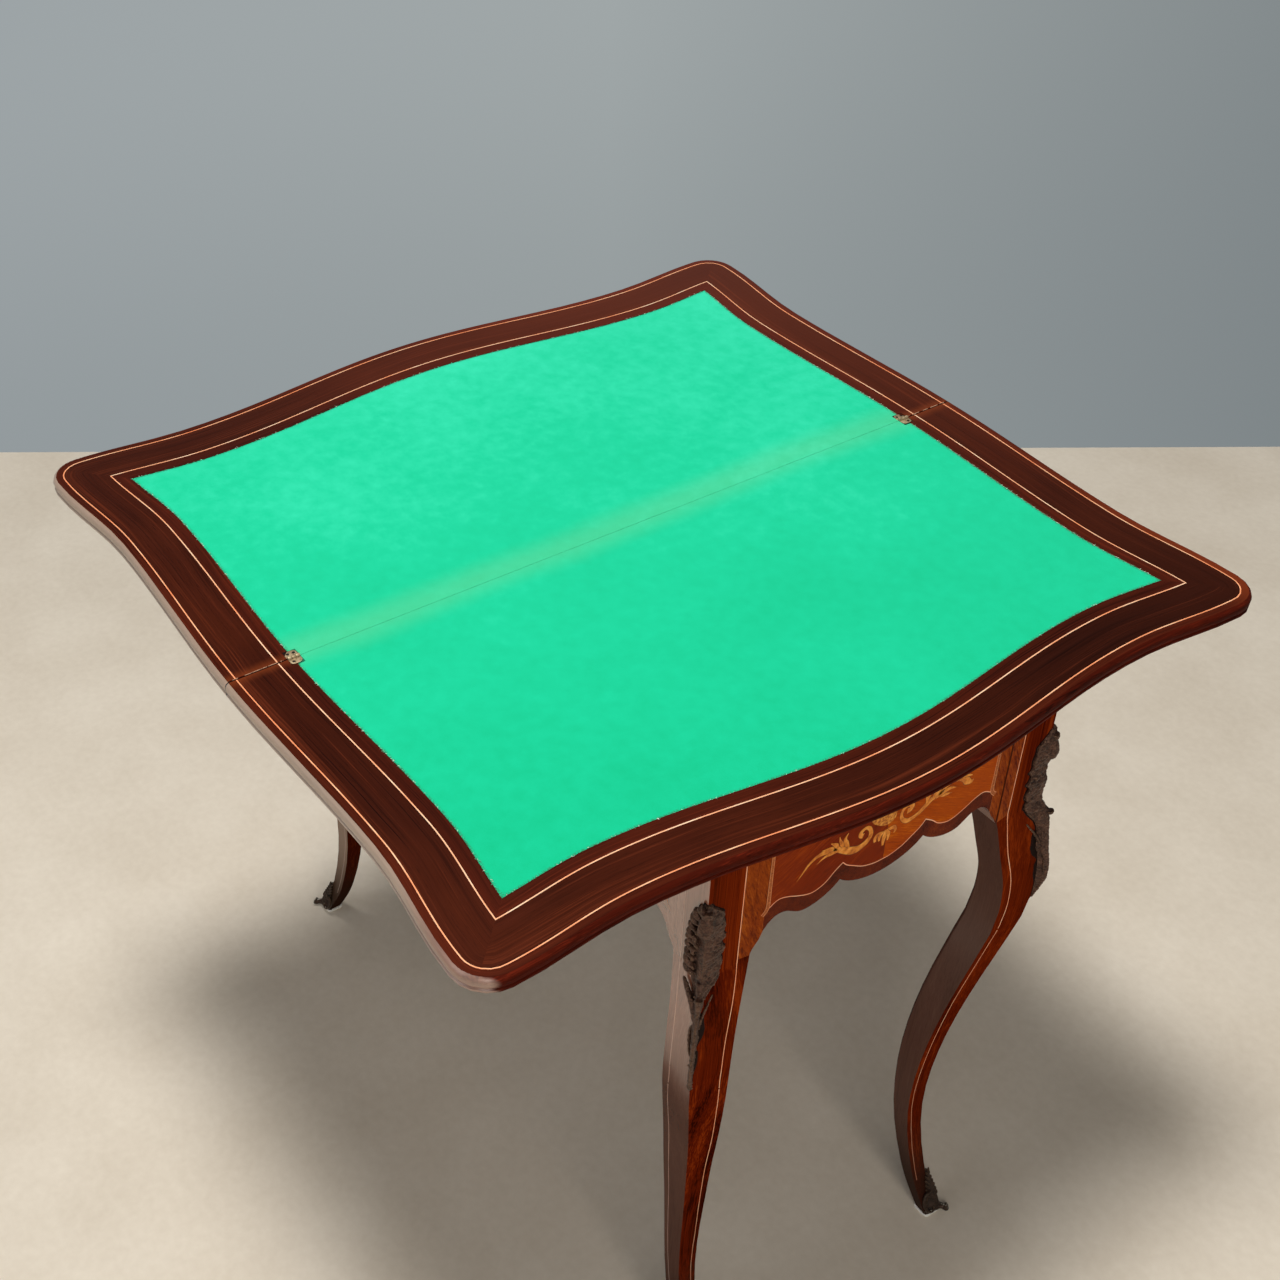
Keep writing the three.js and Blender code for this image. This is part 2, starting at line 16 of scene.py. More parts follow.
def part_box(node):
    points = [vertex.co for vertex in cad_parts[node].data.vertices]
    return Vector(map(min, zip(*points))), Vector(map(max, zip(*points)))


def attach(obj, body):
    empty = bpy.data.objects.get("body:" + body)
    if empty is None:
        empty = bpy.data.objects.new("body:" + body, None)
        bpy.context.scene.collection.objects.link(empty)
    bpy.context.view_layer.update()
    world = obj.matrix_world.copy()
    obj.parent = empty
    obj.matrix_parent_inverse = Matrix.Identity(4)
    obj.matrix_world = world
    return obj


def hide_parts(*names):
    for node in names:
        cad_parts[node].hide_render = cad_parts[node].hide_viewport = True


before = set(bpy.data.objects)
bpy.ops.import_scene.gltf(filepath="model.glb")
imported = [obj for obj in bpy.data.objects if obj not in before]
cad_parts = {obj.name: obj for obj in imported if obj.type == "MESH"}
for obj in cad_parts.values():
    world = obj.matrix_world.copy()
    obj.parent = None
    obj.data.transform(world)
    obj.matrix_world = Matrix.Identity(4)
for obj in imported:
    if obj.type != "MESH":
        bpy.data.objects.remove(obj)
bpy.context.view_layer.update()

# %% [markdown]
# ## Sizes
# A cabinetmaker works from a few sizes. These are the ones of the frame, in millimetres, and MM turns them
# into metres. The top has a wavy outline: each side swells at the middle, draws in at its waist, and flares
# again at the corner. Each wave is three rows of a place along the side and how far the top reaches there.

# %% Sizes of the frame
MM = 0.001
TOP = 775.0
SEAM_HALF_GAP = 0.15
SIDE_WAVE = ((0, 428), (278, 401), (396, 410))
END_WAVE = ((0, 426), (241, 418), (376, 430))
CORNER_RADIUS = 34.0
CORNER_CENTRE = (376.0, 396.0)
CLOTH_INSET = 66.0
VENEER = 0.3


def wave(start, stop, share):
    """From start to stop along half a cosine wave."""
    return start + (stop - start) * (1 - math.cos(math.pi * min(max(share, 0), 1))) / 2


def along_wave(rows, place):
    """The reach at a place: one half wave from the middle to the waist, and another on to the corner."""
    (_, middle), (waist_place, waist), (corner_place, corner) = rows
    if place < waist_place:
        return wave(middle, waist, place / waist_place)
    return wave(waist, corner, (place - waist_place) / (corner_place - waist_place))


def side_reach(y):
    """How far the top reaches along X, at this distance from its middle."""
    return along_wave(SIDE_WAVE, abs(y))


def end_reach(x):
    """How far the top reaches along Y, at this distance from its seam."""
    return along_wave(END_WAVE, abs(x))


print("the top is", 2 * side_reach(0), "by", 2 * end_reach(CORNER_CENTRE[0]), "mm")

# %% [markdown]
# ## Hands and tools
# Operators act on all that is selected, so each step starts by letting go of everything. A few small
# helpers pick a piece up, run a modifier on it, and hand it over to the frame when it is done.


# %% Helpers for handling a piece
def let_go():
    """Leaves nothing selected."""
    bpy.ops.object.select_all(action="DESELECT")


def pick_up(piece, *others):
    """Selects only this piece, and any others with it."""
    let_go()
    for p in (piece, *others):
        p.select_set(True)
    bpy.context.view_layer.objects.active = piece


def in_edit(piece, *steps):
    """Runs mesh operators on the whole piece in edit mode. A step is (operator, settings)."""
    pick_up(piece)
    bpy.ops.object.mode_set(mode="EDIT")
    bpy.ops.mesh.select_all(action="SELECT")
    for operator, settings in steps:
        operator(**settings)
    bpy.ops.object.mode_set(mode="OBJECT")
    return piece


def modify(piece, kind, **settings):
    """Adds a modifier and applies it."""
    pick_up(piece)
    modifier = piece.modifiers.new(kind.lower(), kind)
    for key, value in settings.items():
        setattr(modifier, key, value)
    bpy.ops.object.modifier_apply(modifier=modifier.name)
    return piece


def outward(piece):
    """Turns all faces to look out of the piece."""
    return in_edit(
        piece,
        (bpy.ops.mesh.remove_doubles, {"threshold": 1e-6}),
        (bpy.ops.mesh.normals_make_consistent, {"inside": False}),
    )


def added(name):
    """The piece that an operator has just made, under its own name."""
    piece = bpy.context.active_object
    piece.name = piece.data.name = name
    return piece


def joined(name, pieces):
    """Several pieces as one."""
    pick_up(*pieces)
    if len(pieces) > 1:
        bpy.ops.object.join()
    return added(name)


def copied(piece, name):
    """A copy of a piece, with a mesh of its own."""
    twin = piece.copy()
    twin.data = piece.data.copy()
    bpy.context.scene.collection.objects.link(twin)
    twin.name = twin.data.name = name
    return twin


def hand_over(piece, body, finish, slot, replaces=(), angle=35):
    """Smooths a piece, gives it its finish, and lets it ride with its body."""
    pick_up(piece)
    bpy.ops.object.transform_apply(location=True, rotation=True, scale=True)
    bpy.ops.object.shade_smooth_by_angle(angle=math.radians(angle))
    piece.data.materials.clear()
    piece.data.materials.append(finish.material)
    if replaces:
        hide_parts(*replaces)
    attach(piece, body)
    return piece


def copy_of_node(node, name):
    """A merged copy of a CAD node, free to be smoothed and bevelled."""
    piece = copied(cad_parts[node], name)
    for key in list(piece.keys()):
        del piece[key]
    piece.parent = None
    piece.hide_render = piece.hide_viewport = False
    pick_up(piece)
    bpy.ops.mesh.customdata_custom_splitnormals_clear()
    return in_edit(
        piece,
        (bpy.ops.mesh.remove_doubles, {"threshold": 1e-6}),
        (bpy.ops.mesh.dissolve_limited, {"angle_limit": math.radians(0.4)}),
        (bpy.ops.mesh.normals_make_consistent, {"inside": False}),
    )


def eased(piece, width, angle=50):
    """Bevels the sharp edges of a piece a little, by a width in millimetres."""
    sharp = math.radians(angle)
    return modify(piece, "BEVEL", width=width * MM, segments=2, limit_method="ANGLE", angle_limit=sharp)


print("helpers are ready")

# %% [markdown]
# ## Bending a grid
# Ribbons, bands of veneer, cloth and cast leaves are all sheets. Each starts as a grid primitive, and its
# points are moved to where a small function says. The grid keeps its own (u, v) as its UV map, so that the
# grain can follow the sheet.


# %% Helpers that bend a grid
def bent_grid(name, columns, rows, place, size=(1, 1), shift=(0, 0)):
    """A grid whose points go to place(u, v) in millimetres. Its UV map covers size, from shift, in metres."""
    let_go()
    bpy.ops.mesh.primitive_grid_add(x_subdivisions=columns, y_subdivisions=rows, size=1, location=(0, 0, 0))
    piece = added(name)
    mesh = piece.data
    flat = [(v.co.x + 0.5, v.co.y + 0.5) for v in mesh.vertices]
    chart = mesh.uv_layers.active or mesh.uv_layers.new(name="sheet")
    chart.name = "sheet"
    for loop in mesh.loops:
        u, v = flat[loop.vertex_index]
        chart.data[loop.index].uv = (shift[0] + u * size[0], shift[1] + v * size[1])
    for vertex, (u, v) in zip(mesh.vertices, flat):
        vertex.co = Vector(place(u, v)) * MM
    return piece


def thickened(piece, thickness, up=None):
    """Gives a sheet its thickness, in millimetres, below its shown side, which faces up."""
    if up is not None:
        middle = sum((p.normal * p.area for p in piece.data.polygons), Vector())
        if middle.dot(Vector(up)) < 0:
            in_edit(piece, (bpy.ops.mesh.flip_normals, {}))
    return modify(piece, "SOLIDIFY", thickness=thickness * MM, offset=-1.0)


def evened(points, count):
    """The same line with count points, evenly spaced. Points may have any number of coordinates."""
    points = [Vector(p) for p in points]
    run = [0.0]
    for a, b in zip(points, points[1:]):
        run.append(run[-1] + (b - a).length)
    made, i = [], 0
    for k in range(count):
        goal = run[-1] * k / (count - 1)
        while i < len(run) - 2 and run[i + 1] < goal:
            i += 1
        step = run[i + 1] - run[i]
        made.append(points[i].lerp(points[i + 1], (goal - run[i]) / step if step else 0))
    return made


def smoothed(points, count, steps=16):
    """A smooth line through a few points, with count points along it."""
    points = [Vector(p) for p in points]
    padded = [2 * points[0] - points[1], *points, 2 * points[-1] - points[-2]]
    made = []
    for a, b, c, d in zip(padded, padded[1:], padded[2:], padded[3:]):
        bend, twist = 2 * a - 5 * b + 4 * c - d, 3 * b - a - 3 * c + d
        for t in (k / steps for k in range(steps)):
            made.append(0.5 * (2 * b + (c - a) * t + bend * t * t + twist * t**3))
    return evened([*made, points[-1]], count)


def between(table, place):
    """Reads a value from rows of (place, value), in straight lines between the rows."""
    rows = sorted(table)
    if place <= rows[0][0]:
        return rows[0][1]
    for (a, va), (b, vb) in zip(rows, rows[1:]):
        if place <= b:
            return va + (vb - va) * (place - a) / (b - a)
    return rows[-1][1]


def hit(tree, start, way, far=200):
    """Where a ray meets a surface, in millimetres, or None."""
    spot, normal, _, _ = tree.ray_cast(Vector(start) * MM, Vector(way), far * MM)
    return None if spot is None else (spot / MM, normal)


def surface_of(piece):
    """The piece's surface, to lay other pieces on."""
    return BVHTree.FromObject(piece, bpy.context.evaluated_depsgraph_get())


print("a line through 3 points has", len(smoothed([(0, 0), (1, 1), (2, 0)], 9)), "points")

# %% [markdown]
# ## Writing materials as sums
# A shader is a graph of nodes, but most of it is arithmetic. A small class wraps a socket, so that a + b or
# 1 - mask adds the Math node by itself. Colours are mixed, never added up, because a Math node turns them
# grey.

# %% Colours and shades
def hue(code):
    """A colour as painters write it, #rrggbb, as the light that a shader works with."""
    parts = [int(code[i : i + 2], 16) / 255 for i in (1, 3, 5)]
    return tuple(p / 12.92 if p <= 0.04045 else ((p + 0.055) / 1.055) ** 2.4 for p in parts)


class Shade:
    """One output of a node. Sums on it make new nodes."""

    def __init__(self, finish, socket):
        self.finish, self.socket = finish, socket

    def math(self, operation, *others, first=None):
        sockets = dict(enumerate((self if first is None else first, *others)))
        return self.finish.node("ShaderNodeMath", {"operation": operation}, sockets)

    def __add__(self, other):
        return self.math("ADD", other)

    __radd__ = __add__

    def __mul__(self, other):
        return self.math("MULTIPLY", other)

    __rmul__ = __mul__

    def __sub__(self, other):
        return self.math("SUBTRACT", other)

    def __rsub__(self, other):
        return self.math("SUBTRACT", self, first=other)

    def __truediv__(self, other):
        return self.math("DIVIDE", other)

    def __gt__(self, other):
        return self.math("GREATER_THAN", other)

    def __abs__(self):
        return self.math("ABSOLUTE")

    def at_least(self, other):
        return self.math("MAXIMUM", other)

    def step(self, low, high):
        """0 below low, 1 above high, and smooth between them."""
        sockets = {0: self, 1: low, 2: high, 3: 0.0, 4: 1.0}
        return self.finish.node("ShaderNodeMapRange", {"interpolation_type": "SMOOTHSTEP"}, sockets)


print("black is", hue("#000000"), "and middle grey", [round(v, 3) for v in hue("#808080")])

# %% [markdown]
# ## The finish
# Every material here is one glossy surface. What is the same all over is set on the surface itself, and
# what changes over the wood is fed to it as a shade. The two noises are the ones that most finishes need:
# one whose three directions can be stretched, and one that is alike in all of them.


# %% The finish
class Finish:
    """A material with one glossy surface. Its fixed values are set on the surface's own sockets."""

    def __init__(self, name, **fixed):
        self.material = bpy.data.materials.new(name)
        self.material.use_nodes = True
        self.tree = self.material.node_tree
        self.surface = self.tree.nodes["Principled BSDF"]
        for key, value in fixed.items():
            self.surface.inputs[key.replace("_", " ")].default_value = value

    def node(self, kind, settings=None, sockets=None, out=0):
        """Adds a node: its settings first, then the values or links of its sockets."""
        made = self.tree.nodes.new(kind)
        for key, value in (settings or {}).items():
            if key == "stops":
                ramp = made.color_ramp.elements
                while len(ramp) < len(value):
                    ramp.new(0.5)
                for element, (place, colour) in zip(ramp, value):
                    element.position = place
                    element.color = (*colour, 1)
            else:
                setattr(made, key, value)
        for key, value in (sockets or {}).items():
            self.feed(made.inputs[key], value)
        return Shade(self, made.outputs[out])

    def feed(self, socket, value):
        if isinstance(value, Shade):
            self.tree.links.new(value.socket, socket)
        elif isinstance(value, tuple) and socket.type == "RGBA":
            socket.default_value = (*value, 1)
        else:
            socket.default_value = value

    def wear(self, **shades):
        """Feeds what changes over the surface."""
        for key, value in shades.items():
            self.feed(self.surface.inputs[key.replace("_", " ")], value)
        return self

    def place(self):
        """Where on the object a point is: x, y and z in metres."""
        spot = self.node("ShaderNodeTexCoord", out="Object")
        return [self.node("ShaderNodeSeparateXYZ", None, {0: spot}, out=i) for i in range(3)]

    def facing(self):
        """Which way the surface looks: x, y and z of its normal."""
        way = self.node("ShaderNodeTexCoord", out="Normal")
        return [self.node("ShaderNodeSeparateXYZ", None, {0: way}, out=i) for i in range(3)]

    def long_side(self, low, high):
        """1 on the faces that look along -Y, as the front's long face does."""
        return (self.facing()[1] * -1.0).step(low, high)

    def chart(self):
        """Where on its own sheet a point is."""
        spot = self.node("ShaderNodeUVMap", {"uv_map": "sheet"})
        return [self.node("ShaderNodeSeparateXYZ", None, {0: spot}, out=i) for i in range(2)]

    def speckle(self, x, y, z, scale=1.0, detail=3.0, roughness=0.5):
        """Noise over three shades, from 0 to 1."""
        spot = self.node("ShaderNodeCombineXYZ", None, {0: x, 1: y, 2: z})
        sockets = {"Vector": spot, "Scale": scale, "Detail": detail, "Roughness": roughness}
        return self.node("ShaderNodeTexNoise", None, sockets)

    def mottle(self, scale, detail=3.0, roughness=0.5):
        """Noise that is alike in all directions, from 0 to 1."""
        x, y, z = self.place()
        return self.speckle(x * scale, y * scale, z * scale, 1.0, detail, roughness)

    def ramp(self, share, *stops):
        return self.node("ShaderNodeValToRGB", {"stops": stops}, {0: share})

    def mixed(self, share, first, second):
        return self.node("ShaderNodeMix", {"data_type": "RGBA"}, {0: share, 6: first, 7: second}, 2)

    def bumped(self, height, strength, distance):
        sockets = {"Height": height, "Strength": strength, "Distance": distance}
        return self.node("ShaderNodeBump", None, sockets)


print("a finish has", sum(callable(part) for part in vars(Finish).values()), "tools")

# %% [markdown]
# ## Polished veneer
# Kingwood and rosewood are striped: dark lines run with the grain, over a red-brown ground. The stripes are
# noise that is stretched a long way along the grain, in three widths: broad bands, streaks, and pores. A
# French-polished surface is a thin clear coat over it, so the shader's coat does the shine.


# %% The figure of a wood
def grain(finish, along, across, through, broad=60.0, fine=700.0):
    """Bands, streaks and pores of a wood, each from 0 to 1."""
    drift = finish.speckle(along * 5.0, across * 8.0, through * 8.0, 1.0, 2.0) * 0.012
    bent = across + drift
    bands = finish.speckle(along * 1.6, bent * broad, through * broad, 1.0, 3.0, 0.6)
    streaks = finish.speckle(along * 6.0, bent * fine, through * fine, 1.0, 2.0, 0.6)
    pores = finish.speckle(along * 60.0, across * 1900.0, through * 1900.0, 1.0, 2.0, 0.5)
    return bands, streaks, pores


def grain_along(finish, way, broad):
    """The grain of a wood that runs with its sheet, round the borders of a leaf, up a leg, or along X."""
    x, y, z = finish.place()
    if way == "sheet":
        u, v = finish.chart()
        return grain(finish, u, v, z * 0.2, broad)
    if way == "mitred":
        side = (abs(x) - abs(y) + 0.020) > 0.0
        return grain(finish, x + side * (y - x), y + side * (x - y), z, broad)
    if way == "upright":
        return grain(finish, z, y, x, broad)
    return grain(finish, x, y, z, broad)


def figured(finish, codes, figure, cloud, pores):
    """A wood's colour: dark, middle and light by its figure, drifting lighter in clouds, with dark pores."""
    dark, middle, light = (hue(t) for t in codes)
    colour = finish.ramp(figure, (0.3, dark), (0.47, middle), (0.55, middle), (0.72, light))
    colour = finish.mixed(cloud.step(0.35, 0.7) * 0.5, colour, finish.mixed(0.5, colour, light))
    return finish.mixed(pores.step(0.58, 0.7) * 0.45, colour, dark)


print("the veneers' figure is ready")

# %% [markdown]
# ## Painted light and shade, and wear
# The legs have painted shade low on their long faces and on the faces that turn inwards, a painted reflection
# of the lit floor higher up, paler on the far ones, and they are darker towards the foot. The borders of the
# top grow lighter towards one corner and are rubbed warm by the seam, and the edge of the leaves has a pale
# painted reflection along the long side, painted shade in the seam, and dots of painted highlight along one
# rim where the two leaves meet.


# %% Painted light, shade and wear
def leg_light_and_tone(finish, colour, long):
    """A leg's tones by height and side, where long is 1 on its -Y face, with painted light and shade. Returns
    colour and coat weight.
    """
    x, y, z = finish.place()
    look_x, look_y, _ = finish.facing()
    outward_long = (look_y * y).step(-0.01, 0.01)
    # painted reflection of the lit floor high on the outer long faces, and painted shade on the rest of them
    reflects_lit_floor = outward_long * z.step(0.44, 0.6)
    colour = finish.mixed(long * (1.0 - reflects_lit_floor) * 0.8, colour, hue("#381a10"))
    # painted shade on the faces that turn inwards
    inward_shade = (look_x * x * -1.0).step(0.05, 0.25)
    colour = finish.mixed(inward_shade * 0.6, colour, hue("#240a04"))
    # a paler painted reflection on the far legs' outer long faces
    far = (x * -1.0).step(0.1, 0.3) * outward_long * long
    colour = finish.mixed(far * 0.75, colour, hue("#94745e"))
    # darker towards the foot
    foot = 1.0 - z.step(0.03, 0.16)
    colour = finish.mixed(foot * 0.85, colour, hue("#32221a"))
    return colour, long * (0.3 + reflects_lit_floor * 0.7) * (1.0 - foot * 0.7)


def border_tones(finish, colour, light, glow, corner):
    """A border that is lighter towards the far corner, and warm where hands rub it by the seam. The near
    corner may have a tone of its own, from a line across the corner on."""
    x, y, z = finish.place()
    worn = finish.speckle(x * 60.0, y * 40.0, z, 1.0, 3.0)
    by_seam = 1.0 - (abs(x) + worn * 0.006).step(0.001, 0.016)
    # lighter towards the far corner
    lighter_far = (y - x).step(-0.1, 0.75) * 0.5
    colour = finish.mixed(lighter_far, colour, hue(light))
    if corner:
        tone, line = corner
        near = (x + y * 0.5).step(0.25, 0.6) * (y - x).step(line, line + 0.06)
        colour = finish.mixed(near * 0.55, colour, hue(tone))
    return finish.mixed(by_seam * glow, colour, hue("#7e3a1c"))


def edge_light_and_shade(finish, colour, long):
    """A leaf's edge: painted reflection along the long side, painted shade in the seam, painted highlights on
    one rim.
    """
    x, y, z = finish.place()
    # a pale painted reflection of the floor along the long side
    painted_reflection = long * (0.37 - x).step(0.0, 0.1)
    colour = finish.mixed(painted_reflection * 0.6, colour, hue("#b8a08a"))
    # dots of painted highlight along the rim beside the seam
    glints = finish.speckle(x * 100.0, y * 300.0, z * 300.0).step(0.4, 0.56)
    rim = (1.0 - abs(x + 0.0009).step(0.0004, 0.0005)) * glints
    # painted shade in the gap of the seam
    seam_shade = 1.0 - abs(x - 0.0002).step(0.0007, 0.0008)
    return finish.mixed(seam_shade, finish.mixed(rim * 0.9, colour, hue("#c89c80")), hue("#0a0403"))


print("three ways of painted light and wear are ready")

# %% [markdown]
# ## The woods
# All the woods are made by one function, from three tones and a direction of the grain. Kingwood is dark
# and purplish, rosewood is redder, tulipwood is orange, the burr is speckled, and plain oak is kept for the
# inside.


# %% Wood finishes
def veneer(
    name, tones, way="sheet", broad=60.0, contrast=1.0, shine=0.22, gloss=0.3, haze=0.2, glow=0.0,
    corner=None, long_face=None,
):
    """A wood of three tones. Faces along -Y may be glossier, with tones painted as a reflection of the floor.
    """
    finish = Finish(name, Coat_Roughness=haze, Coat_IOR=2.5, IOR=1.5, Specular_IOR_Level=gloss)
    bands, streaks, pores = grain_along(finish, way, broad)
    figure = (bands * 0.55 + streaks * 0.45 - 0.5) * contrast + 0.5
    cloud = finish.mottle(6.0, 2.0)
    colour = figured(finish, tones, figure, cloud, pores)
    polish_and_sheen = 0.0
    # faces along -Y take their own tones: a painted reflection of the floor
    if long_face:
        sheen_tones, low, high = long_face
        polish_and_sheen = finish.long_side(low, high)
        colour = finish.mixed(polish_and_sheen, colour, figured(finish, sheen_tones, figure, cloud, pores))
    if way == "upright":
        colour, polish_and_sheen = leg_light_and_tone(finish, colour, polish_and_sheen)
    if glow:
        colour = border_tones(finish, colour, tones[2], glow, corner)
    if way == "mitred":
        colour = edge_light_and_shade(finish, colour, polish_and_sheen)
    roughness = shine + (streaks - 0.5) * 0.1
    relief = finish.bumped(streaks, 0.03, 0.00005)
    return finish.wear(Base_Color=colour, Coat_Weight=polish_and_sheen, Roughness=roughness, Normal=relief)


# tones of the faces along -Y, and where they start: a painted reflection of the floor
LONG_FACE_SHEEN = (("#6a3e2c", "#8c5844", "#a06c56"), 0.55, 0.85)
EDGE_FACE_SHEEN = (("#5c3628", "#84563f", "#9c6e58"), 0.25, 0.5)
BORDER = {"contrast": 1.3, "broad": 90.0, "glow": 0.7}
PANEL = {"shine": 0.4, "gloss": 0.02, "long_face": LONG_FACE_SHEEN}
band_wood = veneer(
    "kingwood_band", ("#1c0805", "#3a150a", "#642a16"), contrast=1.2, glow=0.7, corner=("#1c0b07", -2.0)
)
# the outer strip's corner tone is lighter and redder: a painted highlight
strip_wood = veneer("kingwood_strip", ("#240a05", "#481a0c", "#722c18"), corner=("#84381a", -0.03), **BORDER)
inner_wood = veneer("kingwood_inner_strip", ("#1e0805", "#40160b", "#662614"), **BORDER)
leaf_wood = veneer(
    "leaf_edge_rosewood", ("#200a06", "#46140a", "#6a2212"), "mitred", contrast=1.5, shine=0.5, gloss=0.02,
    haze=0.4, long_face=EDGE_FACE_SHEEN,
)
leg_wood = veneer(
    "leg_rosewood", ("#2a0903", "#5e1a06", "#8c340e"), "upright", broad=45.0, contrast=1.8, shine=0.4,
    gloss=0.0, long_face=LONG_FACE_SHEEN,
)
apron_wood = veneer(
    "apron_kingwood", ("#2e0c05", "#5a1c08", "#80340e"), "along", broad=50.0, contrast=1.5, gloss=0.02,
    long_face=LONG_FACE_SHEEN,
)
# the near half is painted darker than the far one: painted shade of the book-matched grain
dark_panel = veneer("tulipwood_shaded", ("#4c1402", "#782202", "#9c3c06"), broad=40.0, contrast=1.4, **PANEL)
panel_wood = veneer("tulipwood_panel", ("#7a2a02", "#aa4200", "#cc6408"), broad=40.0, contrast=1.4, **PANEL)
burr_wood = veneer("burr_panel", ("#581600", "#8a3604", "#a85010"), broad=200.0, contrast=2.0, **PANEL)
oak_wood = veneer("oak_inside", ("#7a5a34", "#a07c4c", "#b8925c"), "along", broad=30.0, shine=0.55)
print("woods are ready, from", band_wood.material.name, "to", oak_wood.material.name)

# %% [markdown]
# ## Inlay finishes
# The thin lines are boxwood, stained warm. The scrolls are lighter woods with burnt and engraved edges: the
# sheet's own chart runs across each stroke, so the shader can darken both of its edges and its middle vein.
# On the long faces every inlay is dulled: painted reflection and shade.

# %% Inlay
# inlay on the faces along -Y is dulled to this tone: painted reflection and shade
LONG_INLAY_SHEEN = "#6a4430"


def inlaid_line(name, tones, **fixed):
    """A line of stained boxwood, a little uneven along its length, and darker low on the legs."""
    finish = Finish(name, Coat_Roughness=0.2, Coat_IOR=2.5, Roughness=0.3, **fixed)
    along, across = finish.chart()
    uneven = finish.speckle(along * 40.0, across * 400.0, 0.0, 1.0, 3.0)
    dim = (1.0 - finish.place()[2].step(0.04, 0.36)) * 0.7
    tone = finish.ramp(uneven, *zip((0.3, 0.5, 0.7), [hue(t) for t in tones]))
    return finish.wear(Base_Color=finish.mixed(dim, tone, hue("#6a3424")))


def inlaid_wood(name):
    """The start of a matt inlay on the aprons, and the long ones' face, which gets a coat and a painted
    reflection.
    """
    finish = Finish(name, Roughness=0.4, Specular_IOR_Level=0.1, Coat_Roughness=0.2, Coat_IOR=2.5)
    long = finish.long_side(0.55, 0.85)
    return finish.wear(Coat_Weight=long), long


string_wood = inlaid_line("boxwood_line", ("#f48c5a", "#ffac7c", "#ffd0a8"))
inner_string = inlaid_line("boxwood_inner_line", ("#ff9c68", "#ffc096", "#ffe0c0"))
# the line on the legs' long faces, dulled: painted reflection and shade
sheened_string = inlaid_line("boxwood_line_painted_sheen", ("#94604c", "#b87c64", "#cc9478"), Coat_Weight=1.0)

scroll_wood, long = inlaid_wood("engraved_scrolls")
along, across = scroll_wood.chart()
edge = abs(across - 0.5)
nick = scroll_wood.speckle(along * 6.0, across * 2.0, 0.0, 4.0, 2.0)
vein = (0.02 - edge + (nick - 0.5) * 0.16).step(0.0, 0.03) * 0.4
engraved = (edge + nick * 0.04).step(0.44, 0.48).at_least(vein)
patch = scroll_wood.mottle(160.0)
gilded = scroll_wood.ramp(patch, (0.3, hue("#b45a14")), (0.5, hue("#e08628")), (0.7, hue("#f6a848")))
# on the long aprons the scrolls are dulled: painted reflection and shade
gilded = scroll_wood.mixed(long * 0.75, gilded, hue(LONG_INLAY_SHEEN))
scroll_wood.wear(Base_Color=scroll_wood.mixed(engraved, gilded, hue("#481606")))

patch_wood, long = inlaid_wood("golden_inlay")
patch = patch_wood.mottle(420.0)
gilded = patch_wood.ramp(patch, (0.34, hue("#9a4a10")), (0.5, hue("#cc7c26")), (0.66, hue("#e8a242")))
# on the long aprons the drape is dulled: painted reflection and shade
patch_wood.wear(Base_Color=patch_wood.mixed(long * 0.75, gilded, hue(LONG_INLAY_SHEEN)))

strap_wood, long = inlaid_wood("tulipwood_strap")
along, across = strap_wood.chart()
flame = strap_wood.speckle(along * 2.0, across * 3.0, 0.0, 2.0, 3.0)
edged = (abs(across - 0.5) + flame * 0.1).step(0.36, 0.46)
flamed = strap_wood.ramp(flame, (0.35, hue("#7c3410")), (0.5, hue("#a85420")), (0.65, hue("#c87434")))
flamed = strap_wood.mixed(edged, flamed, hue("#e09460"))
# on the long aprons the strap is dulled: painted reflection and shade
strap_wood.wear(Base_Color=strap_wood.mixed(long * 0.75, flamed, hue(LONG_INLAY_SHEEN)))
print("inlay finishes are ready")

# %% [markdown]
# ## Baize
# Baize is a wool cloth with a raised nap: no thread shows, only a fine fuzz that catches the light at its
# surface, which the shader's sheen gives. It is paler along the seam, where cards and sleeves rub it, and
# its cut edge is darker and frayed. Painted shade darkens it towards +X and -Y. The chart of the cloth
# runs in from its cut edges, so that the shader finds them.

# %% Baize and its fibres
baize = Finish("green_baize", Sheen_Weight=0.35, Sheen_Roughness=0.5, Roughness=0.95, Specular_IOR_Level=0.15)
baize.surface.inputs["Sheen Tint"].default_value = (0.3, 1.0, 0.75, 1)
x, y, z = baize.place()
nap = baize.mottle(1500.0, 3.0, 0.7)
cloud = baize.speckle(x * 7.0, y * 7.0, z, 1.0, 3.0)
near_seam = 1.0 - abs(x + 0.006 + (cloud - 0.5) * 0.02).step(0.0, 0.036)
fray_share = baize.speckle(x * 700.0, y * 700.0, z, 1.0, 3.0, 0.7).step(0.42, 0.6)
rim = (1.0 - baize.chart()[1].step(0.0, 0.0035)) * fray_share
mottle = baize.speckle(x * 70.0, y * 70.0, z, 1.0, 4.0, 0.6)
# tone falls towards +X and -Y: painted shade of the light's falloff across the cloth
tone = cloud * 0.3 + nap * 0.3 + mottle * 0.35 - (x - y * 0.3 + 0.43) * 0.4 + 0.17
ground = baize.ramp(tone, (0.2, hue("#00bf88")), (0.5, hue("#0ecf9c")), (0.8, hue("#3ae6ba")))
ground = baize.mixed(near_seam * 0.15, ground, hue("#98cc88"))
ground = baize.mixed(rim * 0.8, ground, hue("#3a5a3c"))
baize.wear(Base_Color=ground, Normal=baize.bumped(nap, 0.5, 0.0004))

